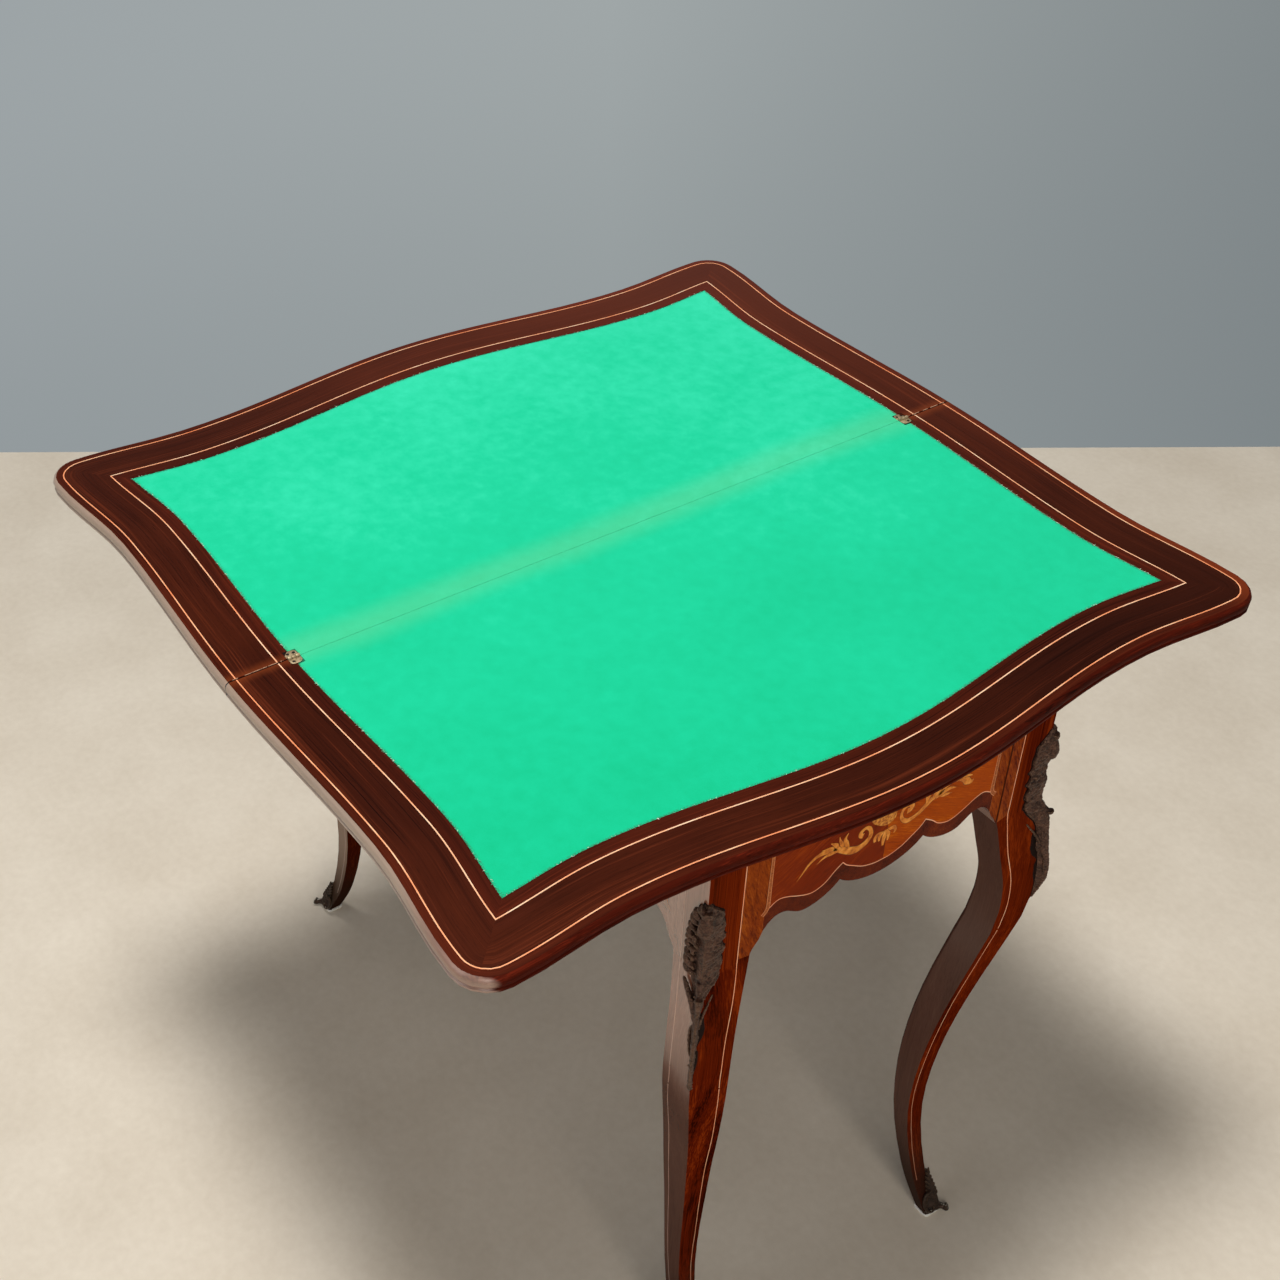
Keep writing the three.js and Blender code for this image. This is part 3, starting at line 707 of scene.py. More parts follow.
fibre = Finish("loose_fibre", Roughness=0.9)
x, y, z = fibre.place()
tuft = fibre.speckle(x * 300.0, y * 300.0, z, 1.0, 1.0)
fibre.wear(Base_Color=fibre.ramp(tuft, (0.35, hue("#3a8a68")), (0.5, hue("#6ad2a8")), (0.6, hue("#dcecd8"))))
print("cloth finishes are ready")

# %% [markdown]
# ## Bronze and brass
# Bronze is cast and patinated: black in its hollows, from patina and painted shade, browner where it stands
# proud, and darker and smoother low on the toes, where shoes and brooms rub it, with a small painted
# highlight on the top of each. The shader reads the bend of the surface to tell hollows from ridges. The
# brass of the hinges is dull and spotted, and the iron under the top has a little rust.

# %% Metals
bronze = Finish("patinated_bronze", IOR=1.5, Specular_IOR_Level=0.35)
z = bronze.place()[2]
pits = bronze.mottle(700.0, 3.0, 0.6)
rubs = bronze.mottle(140.0)
convex = bronze.node("ShaderNodeNewGeometry", out="Pointiness")
proud = convex.step(0.505, 0.56)
# the hollows are darkened by patina and by painted shade
hollow_patina_and_shade = 1.0 - convex.step(0.44, 0.495)
patina = rubs * 0.5 + pits * 0.5
skin = bronze.ramp(patina, (0.34, hue("#22140f")), (0.5, hue("#50362b")), (0.64, hue("#704f3f")))
skin = bronze.mixed((1.0 - z.step(0.05, 0.09)) * 0.65, skin, hue("#1c170e"))
skin = bronze.mixed(hollow_patina_and_shade * 0.9, skin, hue("#0a0604"))
skin = bronze.mixed(proud * 0.45, skin, hue("#7c6650"))
toe_tip = 1.0 - z.step(0.009, 0.014)
# painted highlight: a small bright spot where the toe's top faces up
painted_highlight = toe_tip * bronze.facing()[2].step(0.94, 0.99)
bronze.wear(
    Base_Color=bronze.mixed(painted_highlight * 0.9, skin, hue("#f4ecdc")),
    Metallic=0.35 + proud * 0.4,
    Roughness=0.5 - proud * 0.2 + (pits - 0.5) * 0.2 - toe_tip * 0.24,
    Normal=bronze.bumped(pits + rubs, 0.6, 0.0006),
)

brass = Finish("tarnished_brass", IOR=1.5)
stain = brass.mottle(420.0, 4.0, 0.6)
brass.wear(
    Base_Color=brass.ramp(stain, (0.3, hue("#7a684e")), (0.5, hue("#b29c7a")), (0.7, hue("#ccba98"))),
    Metallic=0.35 + stain * 0.3,
    Roughness=0.4 + stain * 0.2,
    Normal=brass.bumped(stain, 0.25, 0.0002),
)

iron = Finish("black_iron", IOR=1.5)
rust = iron.mottle(300.0, 4.0, 0.6)
iron.wear(
    Base_Color=iron.ramp(rust, (0.35, hue("#2a2624")), (0.6, hue("#4a423c")), (0.75, hue("#6a4a34"))),
    Metallic=1.0 - rust.step(0.55, 0.75) * 0.6,
    Roughness=0.42 + rust * 0.3,
    Normal=iron.bumped(rust, 0.3, 0.0003),
)
print("metals are ready")

# %% [markdown]
# ## Felt, and painted shadow
# The pads under the feet are white felt, a mat of fine fibres with no weave. Round the mounts sits a dark
# sheet of painted shadow, with a little old wax and dust in it, which no cloth reaches.

# %% Felt, and painted shadow with old wax
felt = Finish("white_felt", Sheen_Weight=0.3, Roughness=0.95)
x, y, z = felt.place()
fibres = felt.speckle(x * 900.0, y * 900.0, z * 500.0, 1.0, 4.0, 0.7)
felt.wear(
    Base_Color=felt.ramp(fibres, (0.3, hue("#e2dfd8")), (0.7, hue("#fcfaf6"))),
    Normal=felt.bumped(fibres, 0.6, 0.0005),
)

# painted shadow round the mounts, with some old wax and dust in it
shadow_wax = Finish("painted_shadow_and_old_wax", Roughness=0.7, Specular_IOR_Level=0.1)
shadow_wax.wear(Base_Color=shadow_wax.ramp(shadow_wax.mottle(300.0), (0.3, hue("#0a0402")), (0.7, hue("#220c06"))))
print("materials", len(bpy.data.materials))

# %% [markdown]
# ## The leaves
# Each leaf is a board with a moulded edge. The CAD solid has the right shape, so a merged copy of it is
# smoothed over its shallow angles, and stays crisp at its arrises.

# %% Leaves
LEAF_SIDES = {"lower": ("swivel_top", 1), "upper": ("fold_top", -1)}
leaves = {}
for leaf, (body, way) in LEAF_SIDES.items():
    board = copy_of_node(f"{leaf}_leaf", f"{leaf}_leaf_board")
    hand_over(board, body, leaf_wood, "rosewood", [f"{leaf}_leaf"], angle=28)
    leaves[leaf] = board
    print(board.name, len(board.data.polygons), "faces")

# %% [markdown]
# ## Banding and lines on the leaves
# The borders are laid in three widths of veneer, with two thin light lines let in between them. All follow
# the wavy edge, so each is a grid that runs from the seam to the mitre, round the side, and back to the
# seam.


# %% Lines at an inset from the edge
def corner_spot(inset):
    """Where the lines at this inset meet, on the mitre of the corner."""
    if inset < CORNER_RADIUS:
        lean = (CORNER_RADIUS - inset) * math.sqrt(0.5)
        return CORNER_CENTRE[0] + lean, CORNER_CENTRE[1] + lean
    x, y = CORNER_CENTRE
    for _ in range(20):
        x, y = side_reach(y) - inset, end_reach(x) - inset
    return x, y


def end_run(inset, count=90, start=SEAM_HALF_GAP):
    """The line from near the seam to the mitre, along Y = -reach."""
    last = min(corner_spot(inset)[0], CORNER_CENTRE[0])
    line = [(x, -(end_reach(x) - inset)) for x in (start + (last - start) * k / 80 for k in range(81))]
    if inset < CORNER_RADIUS:
        line += arc_run(inset, 90, 45)
    return evened(line, count)


def arc_run(inset, start, stop):
    """Points on the rounded corner, from one angle to another."""
    reach = CORNER_RADIUS - inset
    turns = [math.radians(start + (stop - start) * k / 12) for k in range(13)]
    return [(CORNER_CENTRE[0] + reach * math.cos(t), -CORNER_CENTRE[1] - reach * math.sin(t)) for t in turns]


def side_run(inset, count=120):
    """The line along the side, from one mitre to the other."""
    last = min(corner_spot(inset)[1], CORNER_CENTRE[1])
    line = [(side_reach(y) - inset, y) for y in (-last + 2 * last * k / 160 for k in range(161))]
    if inset < CORNER_RADIUS:
        first = arc_run(inset, 45, 0)
        line = [*first, *line, *[(x, -y) for x, y in reversed(first)]]
    return evened(line, count)


print("the cloth's corner is at", [round(v, 1) for v in corner_spot(CLOTH_INSET)], "mm")


# %% One border
VENEER_START = {1: 0.9, -1: 1.3}


def border(name, inner, outer, top, rows, tone, way):
    """One width of veneer, or one line, round a leaf, from the seam and back to it. Each run closes by
    itself, so that the mitres stay crisp."""

    def seam_run(inset):
        return end_run(inset, start=VENEER_START[way])

    runs = []
    for part, (run, flip) in enumerate(((seam_run, 1), (side_run, 1), (seam_run, -1))):
        lines = [run(outer + (inner - outer) * (i / rows)) for i in range(rows + 1)]
        count = len(lines[0])

        def place(u, v):
            x, y = lines[round(v * rows)][round(u * (count - 1))]
            return x * way, y * flip, top

        length = sum((b - a).length for a, b in zip(lines[0], lines[0][1:])) * MM
        size = (length, (inner - outer) * MM)
        shift = (part * 3.1 + tone, outer * MM + tone)
        piece = bent_grid(name, count - 1, rows, place, size, shift)
        runs.append(outward(thickened(piece, VENEER, up=(0, 0, 1))))
    return joined(name, runs)


print("veneer starts", VENEER_START[1], "and", VENEER_START[-1], "mm from the middle of the seam")

# %% [markdown]
# ## Laying the borders
# The innermost strip is cut away round the hinges, which sit in it at both ends of the seam. A notch is cut
# with four straight cuts through the sheet, and what lies inside them is taken out.

# %% Notches and borders
# A notch is half its width, and where it starts and stops along Y.
STRIP_NOTCH = (10.3, 352.7, 365.3)


def notched(piece, reach, low, high):
    """Cuts a rectangle out of a piece at both ends of the seam, to clear the hinges."""
    cut = [((reach, 0, 0), (1, 0, 0)), ((-reach, 0, 0), (1, 0, 0))]
    cut += [((0, s * y, 0), (0, 1, 0)) for s in (1, -1) for y in (low, high)]
    for spot, way in cut:
        in_edit(piece, (bpy.ops.mesh.bisect, {"plane_co": [c * MM for c in spot], "plane_no": way}))
    shape = bmesh.new()
    shape.from_mesh(piece.data)
    inside = []
    for face in shape.faces:
        middle = face.calc_center_median() / MM
        if abs(middle.x) < reach and low < abs(middle.y) < high:
            inside.append(face)
    bmesh.ops.delete(shape, geom=inside, context="FACES")
    holes = [e for e in shape.edges if e.is_boundary]
    if holes:
        bmesh.ops.holes_fill(shape, edges=holes, sides=0)
    shape.to_mesh(piece.data)
    shape.free()
    return piece


# Each row has the insets of its two sides, how proud it lies, its rows of faces, and its wood.
BORDERS = {
    "outer_strip": (10.45, 3.6, 0.12, 2, strip_wood),
    "outer_line": (11.6, 10.45, 0.16, 1, string_wood),
    "middle_band": (50.95, 11.6, 0.12, 8, band_wood),
    "inner_line": (52.1, 50.95, 0.16, 1, inner_string),
    "inner_strip": (65.6, 52.1, 0.12, 3, inner_wood),
}
for leaf, (body, way) in LEAF_SIDES.items():
    for part, (inner, outer, proud, rows, finish) in BORDERS.items():
        piece = border(f"{leaf}_leaf_{part}", inner, outer, TOP + proud, rows, 6 + way * 5.3, way)
        if part == "inner_strip":
            notched(piece, *STRIP_NOTCH)
        hand_over(piece, body, finish, "rosewood")
    print(leaf, "leaf has its", len(BORDERS), "borders")

# %% [markdown]
# ## The baize
# The cloth lies in a shallow sinking of each leaf, a hair below the wood. It is one sheet a leaf, cut to
# the wavy outline and cut out round the hinges. Its edge is rubbed and a little frayed.


# %% Baize sheets
# The notch of the cloth is open at its outer end. The size is in metres, and the rest in millimetres.
CLOTH_NOTCH = (10.4, 352.6, 420)
CLOTH_SIZE = (0.36, 0.72)
CLOTH_THICK = 0.7
CLOTH_SINK = 0.25


def cloth_spot(u, v):
    """A point on the cloth: u runs from the seam to the side, and v across, from -Y to +Y."""
    y = (2 * v - 1) * (end_reach(0) - CLOTH_INSET)
    x = 0.0
    for _ in range(12):
        x = SEAM_HALF_GAP + u * (side_reach(y) - CLOTH_INSET - SEAM_HALF_GAP)
        y = (2 * v - 1) * (end_reach(x) - CLOTH_INSET)
    return x, y


def cloth(leaf, way):
    """A leaf's cloth. Its cut edge is pressed down a little, and its chart tells how far the edge is."""

    def place(u, v):
        x, y = cloth_spot(u, v)
        lie = 0.05 * noise.noise(Vector((x * 0.02, y * 0.02, way * 5.0)))
        from_edge = min(min(u, 1 - u) * CLOTH_SIZE[0], min(v, 1 - v) * CLOTH_SIZE[1]) / MM
        return way * x, y, TOP - CLOTH_SINK + lie - (0.25 if from_edge < 3 else 0)

    piece = bent_grid(f"{leaf}_baize_cloth", 64, 120, place)
    chart = piece.data.uv_layers.active
    for loop in piece.data.loops:
        u, v = chart.data[loop.index].uv
        to_cut = min((1 - u) * CLOTH_SIZE[0], v * CLOTH_SIZE[1], (1 - v) * CLOTH_SIZE[1])
        chart.data[loop.index].uv = (u, to_cut)
    return outward(thickened(piece, CLOTH_THICK, up=(0, 0, 1)))


print("a cloth's outer corner is at", [round(v, 1) for v in cloth_spot(1, 1)], "mm")


# %% Frayed edges
def loose_thread(curl):
    """One fibre, 1 mm long, that lies along X and curls aside."""

    def place(u, v):
        wide = (v - 0.5) * 0.3 * (1 - 0.6 * u)
        return u * math.cos(curl * u / 2), u * math.sin(curl * u / 2) + wide, 0.4 * math.sin(math.pi * u)

    return thickened(bent_grid("thread", 3, 1, place), 0.12, up=(0, 0, 1))


def fray(leaf, way, count=420):
    """Loose fibres along the cut edge of a leaf's cloth, which lie out over the wood. They are pressed flat,
    so that the leaves close over them."""
    chance = random.Random(17 + way)
    ends = end_run(CLOTH_INSET + 0.6, 300)[14:]
    edge = [*ends, *side_run(CLOTH_INSET + 0.6, 300), *[Vector((p.x, -p.y)) for p in ends]]
    kinds = [loose_thread(curl) for curl in (-0.9, -0.3, 0.4, 1.0)]
    threads = []
    for k in range(count):
        spot = edge[chance.randrange(1, len(edge) - 1)]
        lean = math.atan2(spot.y, spot.x) + chance.uniform(-1.2, 1.2)
        thread = copied(kinds[k % 4], "thread")
        size = chance.uniform(0.7, 2.2)
        turn = Matrix.Rotation(lean, 4, "Z") @ Matrix.Diagonal((size, size, 0.28, 1))
        thread.data.transform(Matrix.Translation(Vector((spot.x, spot.y, TOP + 0.12)) * MM) @ turn)
        if way < 0:
            thread.data.transform(Matrix.Diagonal((-1, 1, 1, 1)))
        threads.append(thread)
    for kind in kinds:
        bpy.data.objects.remove(kind)
    return outward(joined(f"{leaf}_baize_fray", threads))


for leaf, (body, way) in LEAF_SIDES.items():
    piece = notched(cloth(leaf, way), *CLOTH_NOTCH)
    hand_over(piece, body, baize, "baize", [f"{leaf}_baize"])
    fringe = hand_over(fray(leaf, way), body, fibre, "baize")
    low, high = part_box(f"{leaf}_baize")
    flat = (high.x - low.x, high.y - low.y)
    area = flat[0] * flat[1] * 0.97
    print(piece.name, "cut from", [round(v, 3) for v in flat], "m")

# %% [markdown]
# ## Legs
# A cabriole leg is sawn from one plank, so its faces are swept curves. The copy of the CAD solid is
# smoothed over the bends and stays crisp at its arrises.

# %% Legs
CORNERS = {"front_right": (1, -1), "back_right": (1, 1), "back_left": (-1, 1), "front_left": (-1, -1)}
legs = {}
for corner in CORNERS:
    leg = copy_of_node(f"{corner}_leg", f"{corner}_leg_shaped")
    hand_over(leg, "base", leg_wood, "rosewood", [f"{corner}_leg"], angle=32)
    legs[corner] = leg
leg_skin = surface_of(legs["front_right"])
print("legs", len(legs), "of", len(legs["front_right"].data.polygons), "faces")

# %% [markdown]
# ## Mirroring
# The four corners are alike, mirrored. A piece is made once for the near right corner, and copied to the
# others, each with its own mesh. A mirror turns a mesh inside out, so its normals are worked out again.


# %% Copies round the table
def mirrored(piece, name, ways):
    """A copy of a piece of the front right corner, at the corner with these signs of X and Y."""
    twin = copied(piece, name)
    twin.data.transform(Matrix.Diagonal((ways[0], -ways[1], 1, 1)))
    return outward(twin) if ways[0] * -ways[1] < 0 else twin


def to_corners(piece, part, finish, slot, replaces=None, angle=35):
    """Hands a front right piece over, and its three copies."""
    twins = {}
    for corner, ways in CORNERS.items():
        twins[corner] = piece if corner == "front_right" else mirrored(piece, f"{corner}_{part}", ways)
    piece.name = piece.data.name = f"front_right_{part}"
    for corner, twin in twins.items():
        hand_over(twin, "base", finish, slot, [f"{corner}_{replaces}"] if replaces else (), angle)
    return twins


print("corners", list(CORNERS))

# %% [markdown]
# ## Lines on the legs
# A light line runs down each shown face, near its inner edge. Its path is known on the face, and its depth
# isn't, so each point is found by a ray onto the leg.

# %% Leg lines
END_LINE = [
    (757, 157.5), (640, 157.5), (619, 157.5), (575, 162.5), (530, 171.5), (480, 172.2), (430, 165.5),
    (360, 156.3), (300, 152.3), (240, 148.8), (180, 147.6), (130, 151.2), (80, 154.7), (48, 157),
]
LONG_LINE = [
    (757, 357), (640, 357), (619, 357), (575, 363), (530, 369), (480, 367), (430, 358), (360, 347.5),
    (300, 339.8), (240, 336), (180, 336), (130, 341.5), (80, 353), (48, 363),
]
LINE_WIDTH = 0.9
LINE_PROUD = 0.12
POST_FOOT = 619
CLEAR_OF_LEGS = (450, -260)


def leg_line(name, path, face, count=90):
    """A light line that lies on one face of the front right leg. It is quite straight on the post."""
    spots = smoothed(path, count)
    spots = [s if s[0] < POST_FOOT else Vector((s[0], path[0][1])) for s in spots]

    def place(u, v):
        z, aside = spots[round(u * (count - 1))]
        aside += (v - 0.5) * LINE_WIDTH
        if face == "end":
            found = hit(leg_skin, (CLEAR_OF_LEGS[0], -aside, z), (-1, 0, 0))
            return found[0].x + LINE_PROUD, -aside, z
        found = hit(leg_skin, (aside, CLEAR_OF_LEGS[1], z), (0, 1, 0))
        return aside, found[0].y - LINE_PROUD, z

    piece = bent_grid(name, count - 1, 1, place, (0.75, 0.0013))
    return outward(thickened(piece, VENEER, up=(1, 0, 0) if face == "end" else (0, -1, 0)))


for face, path, finish in (("end", END_LINE, string_wood), ("long", LONG_LINE, sheened_string)):
    line = leg_line(f"front_right_{face}_line", path, face)
    twins = to_corners(line, f"{face}_line", finish, "rosewood")
    for corner in ("back_right", "back_left"):
        twins[corner].data.materials[0] = string_wood.material
    print(face, "lines", len(twins))

# %% [markdown]
# ## Cast mounts
# The knee mounts and the toe mounts are cast bronze, chased by hand: leaves, curls and horns that run into
# each other. A sheet that wraps the arris is their ground. Each form on it is modelled alone, as a limb that
# swells and tapers, and set on the leg by its height, its distance aside of the arris, and how far it stands
# off the wood. A fine voxel remesh then melts them into one casting, as pouring the metal does.

# %% Finding the arris
DIAGONAL = Vector((1, -1, 0)) / math.sqrt(2)
ASIDE = Vector((1, 1, 0)) / math.sqrt(2)
ARRIS = (386, -195)
RAY_START = 60
LEG_HEIGHTS = range(4, 716, 4)


def wood_at(z, aside, origin=ARRIS):
    """The leg's surface at a height, this far aside of a line through the origin."""
    start = Vector((*origin, z)) + ASIDE * aside + DIAGONAL * RAY_START
    found = hit(leg_skin, start, -DIAGONAL)
    return found and found[0]


def arris_at(z):
    """The leg's outer edge at a height: the point that stands out most, first roughly and then closely."""
    rough = max(range(-20, 21), key=lambda k: (wood_at(z, k) or Vector()).dot(DIAGONAL))
    tries = [wood_at(z, rough + k * 0.05) for k in range(-20, 21)]
    return max((p for p in tries if p), key=lambda p: p.dot(DIAGONAL))


edges = [arris_at(z) for z in LEG_HEIGHTS]
ARRIS_LINE = []
for k in range(len(edges)):
    close = edges[max(k - 2, 0) : k + 3]
    edge = sum(close, Vector()) / len(close)
    ARRIS_LINE.append((edge.z, edge))
print("the arris stands out most at", round(max(ARRIS_LINE, key=lambda row: row[1].x)[0]), "mm high")


def on_leg(z, aside, off):
    """A place by the front right leg: its height, how far aside of the arris, and how far off the wood."""
    z = min(max(z, LEG_HEIGHTS[0]), LEG_HEIGHTS[-1])
    edge = between(ARRIS_LINE, z)
    spot = wood_at(z, aside, (edge.x, edge.y))
    if not spot or (spot - edge).length > 2.2 * abs(aside) + 4:
        spot = edge + ASIDE * aside - DIAGONAL * abs(aside)
    lean = min(abs(aside) / 8, 1)
    face = Vector((1, 0, 0)) if aside > 0 else Vector((0, -1, 0))
    return spot + (DIAGONAL * (1 - lean) + face * lean).normalized() * off


# %% Limbs, sheets and castings
def limb(spots, girths, wide, count, around):
    """A round form along a line of (height, aside, off), with a radius at each spot. Its ends are rounded."""
    line = smoothed([on_leg(*s) for s in spots], count)
    rows = [(k / (len(girths) - 1), g) for k, g in enumerate(girths)]
    sides, side = [], ASIDE
    for k in range(count):
        ahead = (line[min(k + 1, count - 1)] - line[max(k - 1, 0)]).normalized()
        level = ahead.cross(DIAGONAL)
        if level.length > 0.2:
            side = level.normalized() * (1 if level.dot(side) >= 0 else -1)
        sides.append((side, side.cross(ahead).normalized()))

    def place(u, v):
        k = round(u * (count - 1))
        side, out = sides[k]
        end = min(k, count - 1 - k) / 3
        round_off = math.sqrt(max(0, 1 - (1 - end) ** 2)) if end < 1 else 1.0
        girth = between(rows, u) * round_off
        turn = 2 * math.pi * v
        return line[k] + side * math.cos(turn) * girth * wide + out * math.sin(turn) * girth

    return outward(bent_grid("limb", count - 1, around, place))


def shell(top, bottom, edge, relief, columns, rows):
    """A cast sheet that wraps the arris. Its half width and its relief come from the height and the share of
    the width, from -1 on the long face to 1 on the end face."""

    def place(u, v):
        z, share = top + (bottom - top) * u, 2 * v - 1
        rim = abs(share) > 0.999 or u < 0.001 or u > 0.999
        return on_leg(z, edge(z, share) * share, -0.4 if rim else relief(z, share))

    return outward(thickened(bent_grid("shell", columns, rows, place), 2.4, up=DIAGONAL))


def cast_together(name, parts, fineness, ease, pitted):
    """Melts overlapping closed forms into one casting, and gives it the small pits of a sand mould."""
    piece = joined(name, parts)
    modify(piece, "REMESH", mode="VOXEL", voxel_size=fineness * MM, adaptivity=0.0)
    modify(piece, "SMOOTH", factor=0.5, iterations=ease)
    outward(piece)
    ways = [v.normal.copy() for v in piece.data.vertices]
    for vertex, way in zip(piece.data.vertices, ways):
        spot = vertex.co / MM
        vertex.co += way * (noise.noise(spot * 0.4) + 0.8 * noise.noise(spot * 0.95)) * pitted * MM
    return piece


print("a place 5 mm off the knee is", [round(v, 1) for v in on_leg(600, 0, 5)])

# %% [markdown]
# ## Knee mounts
# On the end face the mount is a calm plaque, hammered all over. On the long face ten small leaves curl off
# it, each with a dark gap under it. A hood closes it at the top, a V of two horns and a hook at the bottom,
# and a tail hangs down to the middle of the knee.

# %% Knee mounts
PLAQUE_EDGE = [
    (707, 2.0), (702, 4.4), (697, 8.6), (691, 11.8), (684, 12.8), (670, 13.2), (650, 13.4), (634, 13.0),
    (622, 12.0), (613, 11.4), (606, 9.0), (600, 6.0), (594, 3.0), (586, 1.0), (576, 0.8), (568, 1.0),
    (561, 2.2), (556, 1.8), (550, 0.8), (536, 0.8), (528, 1.2), (512, 1.0), (502, 0.8), (491, 0.6),
]
CURL_EDGE = [
    (707, 2.0), (700, 4.4), (690, 7.6), (680, 9.6), (670, 11.0), (655, 12.0), (640, 12.0), (624, 10.8),
    (613, 9.0), (606, 7.0), (600, 5.8), (592, 4.6), (584, 3.2), (574, 2.2), (560, 2.0), (545, 1.2),
    (528, 1.0), (512, 0.9), (502, 0.8), (491, 0.6),
]
MOUNT_RIDGE = [
    (707, 0.2), (700, 1.4), (690, 3.6), (682, 4.6), (674, 3.6), (667, 1.6), (661, 0.6), (655, 1.6),
    (646, 3.4), (638, 3.0), (630, 2.6), (622, 3.4), (614, 5.6), (606, 6.6), (598, 6.4), (588, 6.4),
    (568, 6.4), (558, 6.4), (548, 6.4), (532, 6.4), (522, 7.0), (510, 5.6), (500, 2.4), (491, 0.4),
]


def knee_edge(z, share):
    """The knee mount's half width on each face. The plaque's own edge is a little scalloped."""
    if share < 0:
        return between(CURL_EDGE, z)
    wavy = math.sin(z * 0.42) + noise.noise(Vector((z * 0.2, 0, 8))) if z > 612 else 0.0
    return between(PLAQUE_EDGE, z) * (1 + (0.04 if z > 664 else 0.09) * wavy)


def knee_relief(z, share):
    """How far the cast ground stands off the wood. It is hammered on the end face, low between the curls."""
    spot = Vector((share * 3.2, z * 0.26, 3.0))
    hammered = noise.noise(spot) + 0.7 * noise.noise(spot * 2.1 + Vector((5, 1, 2)))
    ridge = between(MOUNT_RIDGE, z)
    if z < 610:
        return ridge * (1 - min(abs(share) * knee_edge(z, share) / 3.0, 1) ** 4) + 1.3 + 0.5 * hammered
    if share < 0:
        return ridge * (1 - min(1.8 * -share, 1) ** 2) + 0.7 + 0.3 * hammered
    return ridge * (1 - share**2) + 2.0 + 0.7 * max(0, share - 0.8) / 0.2 + 1.2 * hammered


print("the knee mount is", knee_edge(650, 1) + knee_edge(650, -1), "mm wide over its middle")

# %% [markdown]
# ## The parts of a knee mount
# The hood, the hook and the tail stand on the arris itself. The curls of the long face overlap from the top
# down, no two alike, and a smaller one lies in the gap under each. A few bosses break up the plaque, and
# the horns and a side leaf grow from the tail. Each row has the line of a limb, its girths, how much wider
# it is than high, and how finely it is drawn.

# %% The knee casting
HOOD_HOOK_TAIL = [
    (
        [(701, 0, 1.6), (695, 0, 2.0), (690, 0, 3.8), (684, 0, 4.7), (678, 0, 4.6), (671, 0, 2.0)],
        [2.4, 3.0, 4.2, 5.0, 4.6, 2.6], 1.45, 24, 14,
    ),
    ([(694, 0, 2.6), (698.5, 0, 3.2), (701.6, 0, 3.2)], [3.6, 4.3, 3.8], 1.25, 16, 16),
    (
        [(617, 0, 2.6), (612, 0, 5.6), (608.5, 0, 9.0), (607, 0, 11.4), (607, 0, 13.4)],
        [4.4, 4.2, 3.2, 2.5, 2.5], 1.0, 26, 14,
    ),
    ([(604.6, 0, 12.6), (608.6, 0, 12.9)], [3.7, 3.7], 1.0, 16, 14),
    (
        [
            (609, 0, 5.0), (602, 0, 8.0), (592, 0, 8.6), (580, 0, 8.8), (568, 0, 8.6), (556, 0, 8.0),
            (544, 0, 8.2), (532, 0, 8.0), (522, 0, 7.2), (513, 0, 5.2), (503, 0, 2.0), (492, 0, 0.4),
        ],
        [4.2, 4.2, 3.5, 3.2, 3.1, 3.2, 3.0, 3.0, 3.1, 2.9, 2.0, 1.2], 0.6, 60, 14,
    ),
]
HORNS_AND_LEAF = [
    (
        [
            (574, -1.4, 4.2), (586, -2.8, 4.2), (594, -5.2, 3.8),
            (600, -8.4, 3.4), (605, -11.6, 3.0), (608, -14.4, 2.6),
        ],
        [1.8, 2.5, 2.9, 2.8, 2.3, 1.4], 1.0, 30, 12,
    ),
    (
        [(566, 1.0, 3.4), (575, 2.8, 2.0), (583, 5.0, 0.9), (590, 7.8, 0.4), (596, 10.4, 0.2)],
        [1.3, 1.4, 1.3, 1.2, 0.9], 1.0, 24, 10,
    ),
    ([(603, 2.2, 6.4), (604.5, 2.4, 8.0)], [1.4, 1.4], 1.0, 8, 8),
    ([(603, -2.2, 6.4), (604.5, -2.4, 8.0)], [1.4, 1.4], 1.0, 8, 8),
    (
        [(572, -2.0, 4.2), (564, -3.8, 2.8), (554, -4.2, 2.0), (544, -3.2, 2.2), (536, -1.8, 3.0)],
        [1.2, 1.6, 1.5, 1.3, 1.0], 1.0, 26, 10,
    ),
]
CURLS = 10
CURL_SPINE = [(-3.5, 0.45, 3.0), (-2.2, 0.8, 4.2), (0.6, 1.02, 4.6), (3.0, 0.98, 3.6), (3.6, 0.78, 2.8)]
BOSSES = [(672, 6.5, 1.6), (655, 9.0, 2.0), (640, 5.0, 1.8), (628, 9.5, 1.6), (663, 3.0, 1.8)]

parts = [shell(707, 491, knee_edge, knee_relief, 200, 52)]
parts += [limb(*row) for row in HOOD_HOOK_TAIL]
chance = random.Random(5)
for k in range(CURLS):
    z = 701 - 8.4 * k + chance.uniform(-1.6, 1.6)
    size = chance.uniform(0.85, 1.35)
    wide = between(CURL_EDGE, z)
    spots = [(z + h * size, -wide * a, off) for h, a, off in CURL_SPINE]
    parts.append(limb(spots, [1.6 * size, 2.5 * size, 2.9 * size, 2.3 * size, 1.5], 0.85, 24, 12))
    if k < CURLS - 1:
        z = z - 4.3 + chance.uniform(-1, 1)
        lean = chance.uniform(0.3, 0.5)
        spots = [(z - 2, lean, 3.0), (z, lean + 0.08, 4.4), (z + 2.4, lean + 0.2, 4.0)]
        parts.append(limb([(h, -wide * a, off) for h, a, off in spots], [1.5, 2.2, 1.5], 0.9, 14, 10))
for z, aside, size in BOSSES:
    spots = [(z - size, aside - 1, 2.2), (z, aside, 3.2), (z + size, aside + 1, 2.4)]
    parts.append(limb(spots, [size, size * 1.3, size * 0.8], 1.3, 12, 10))
parts += [limb(*row) for row in HORNS_AND_LEAF]
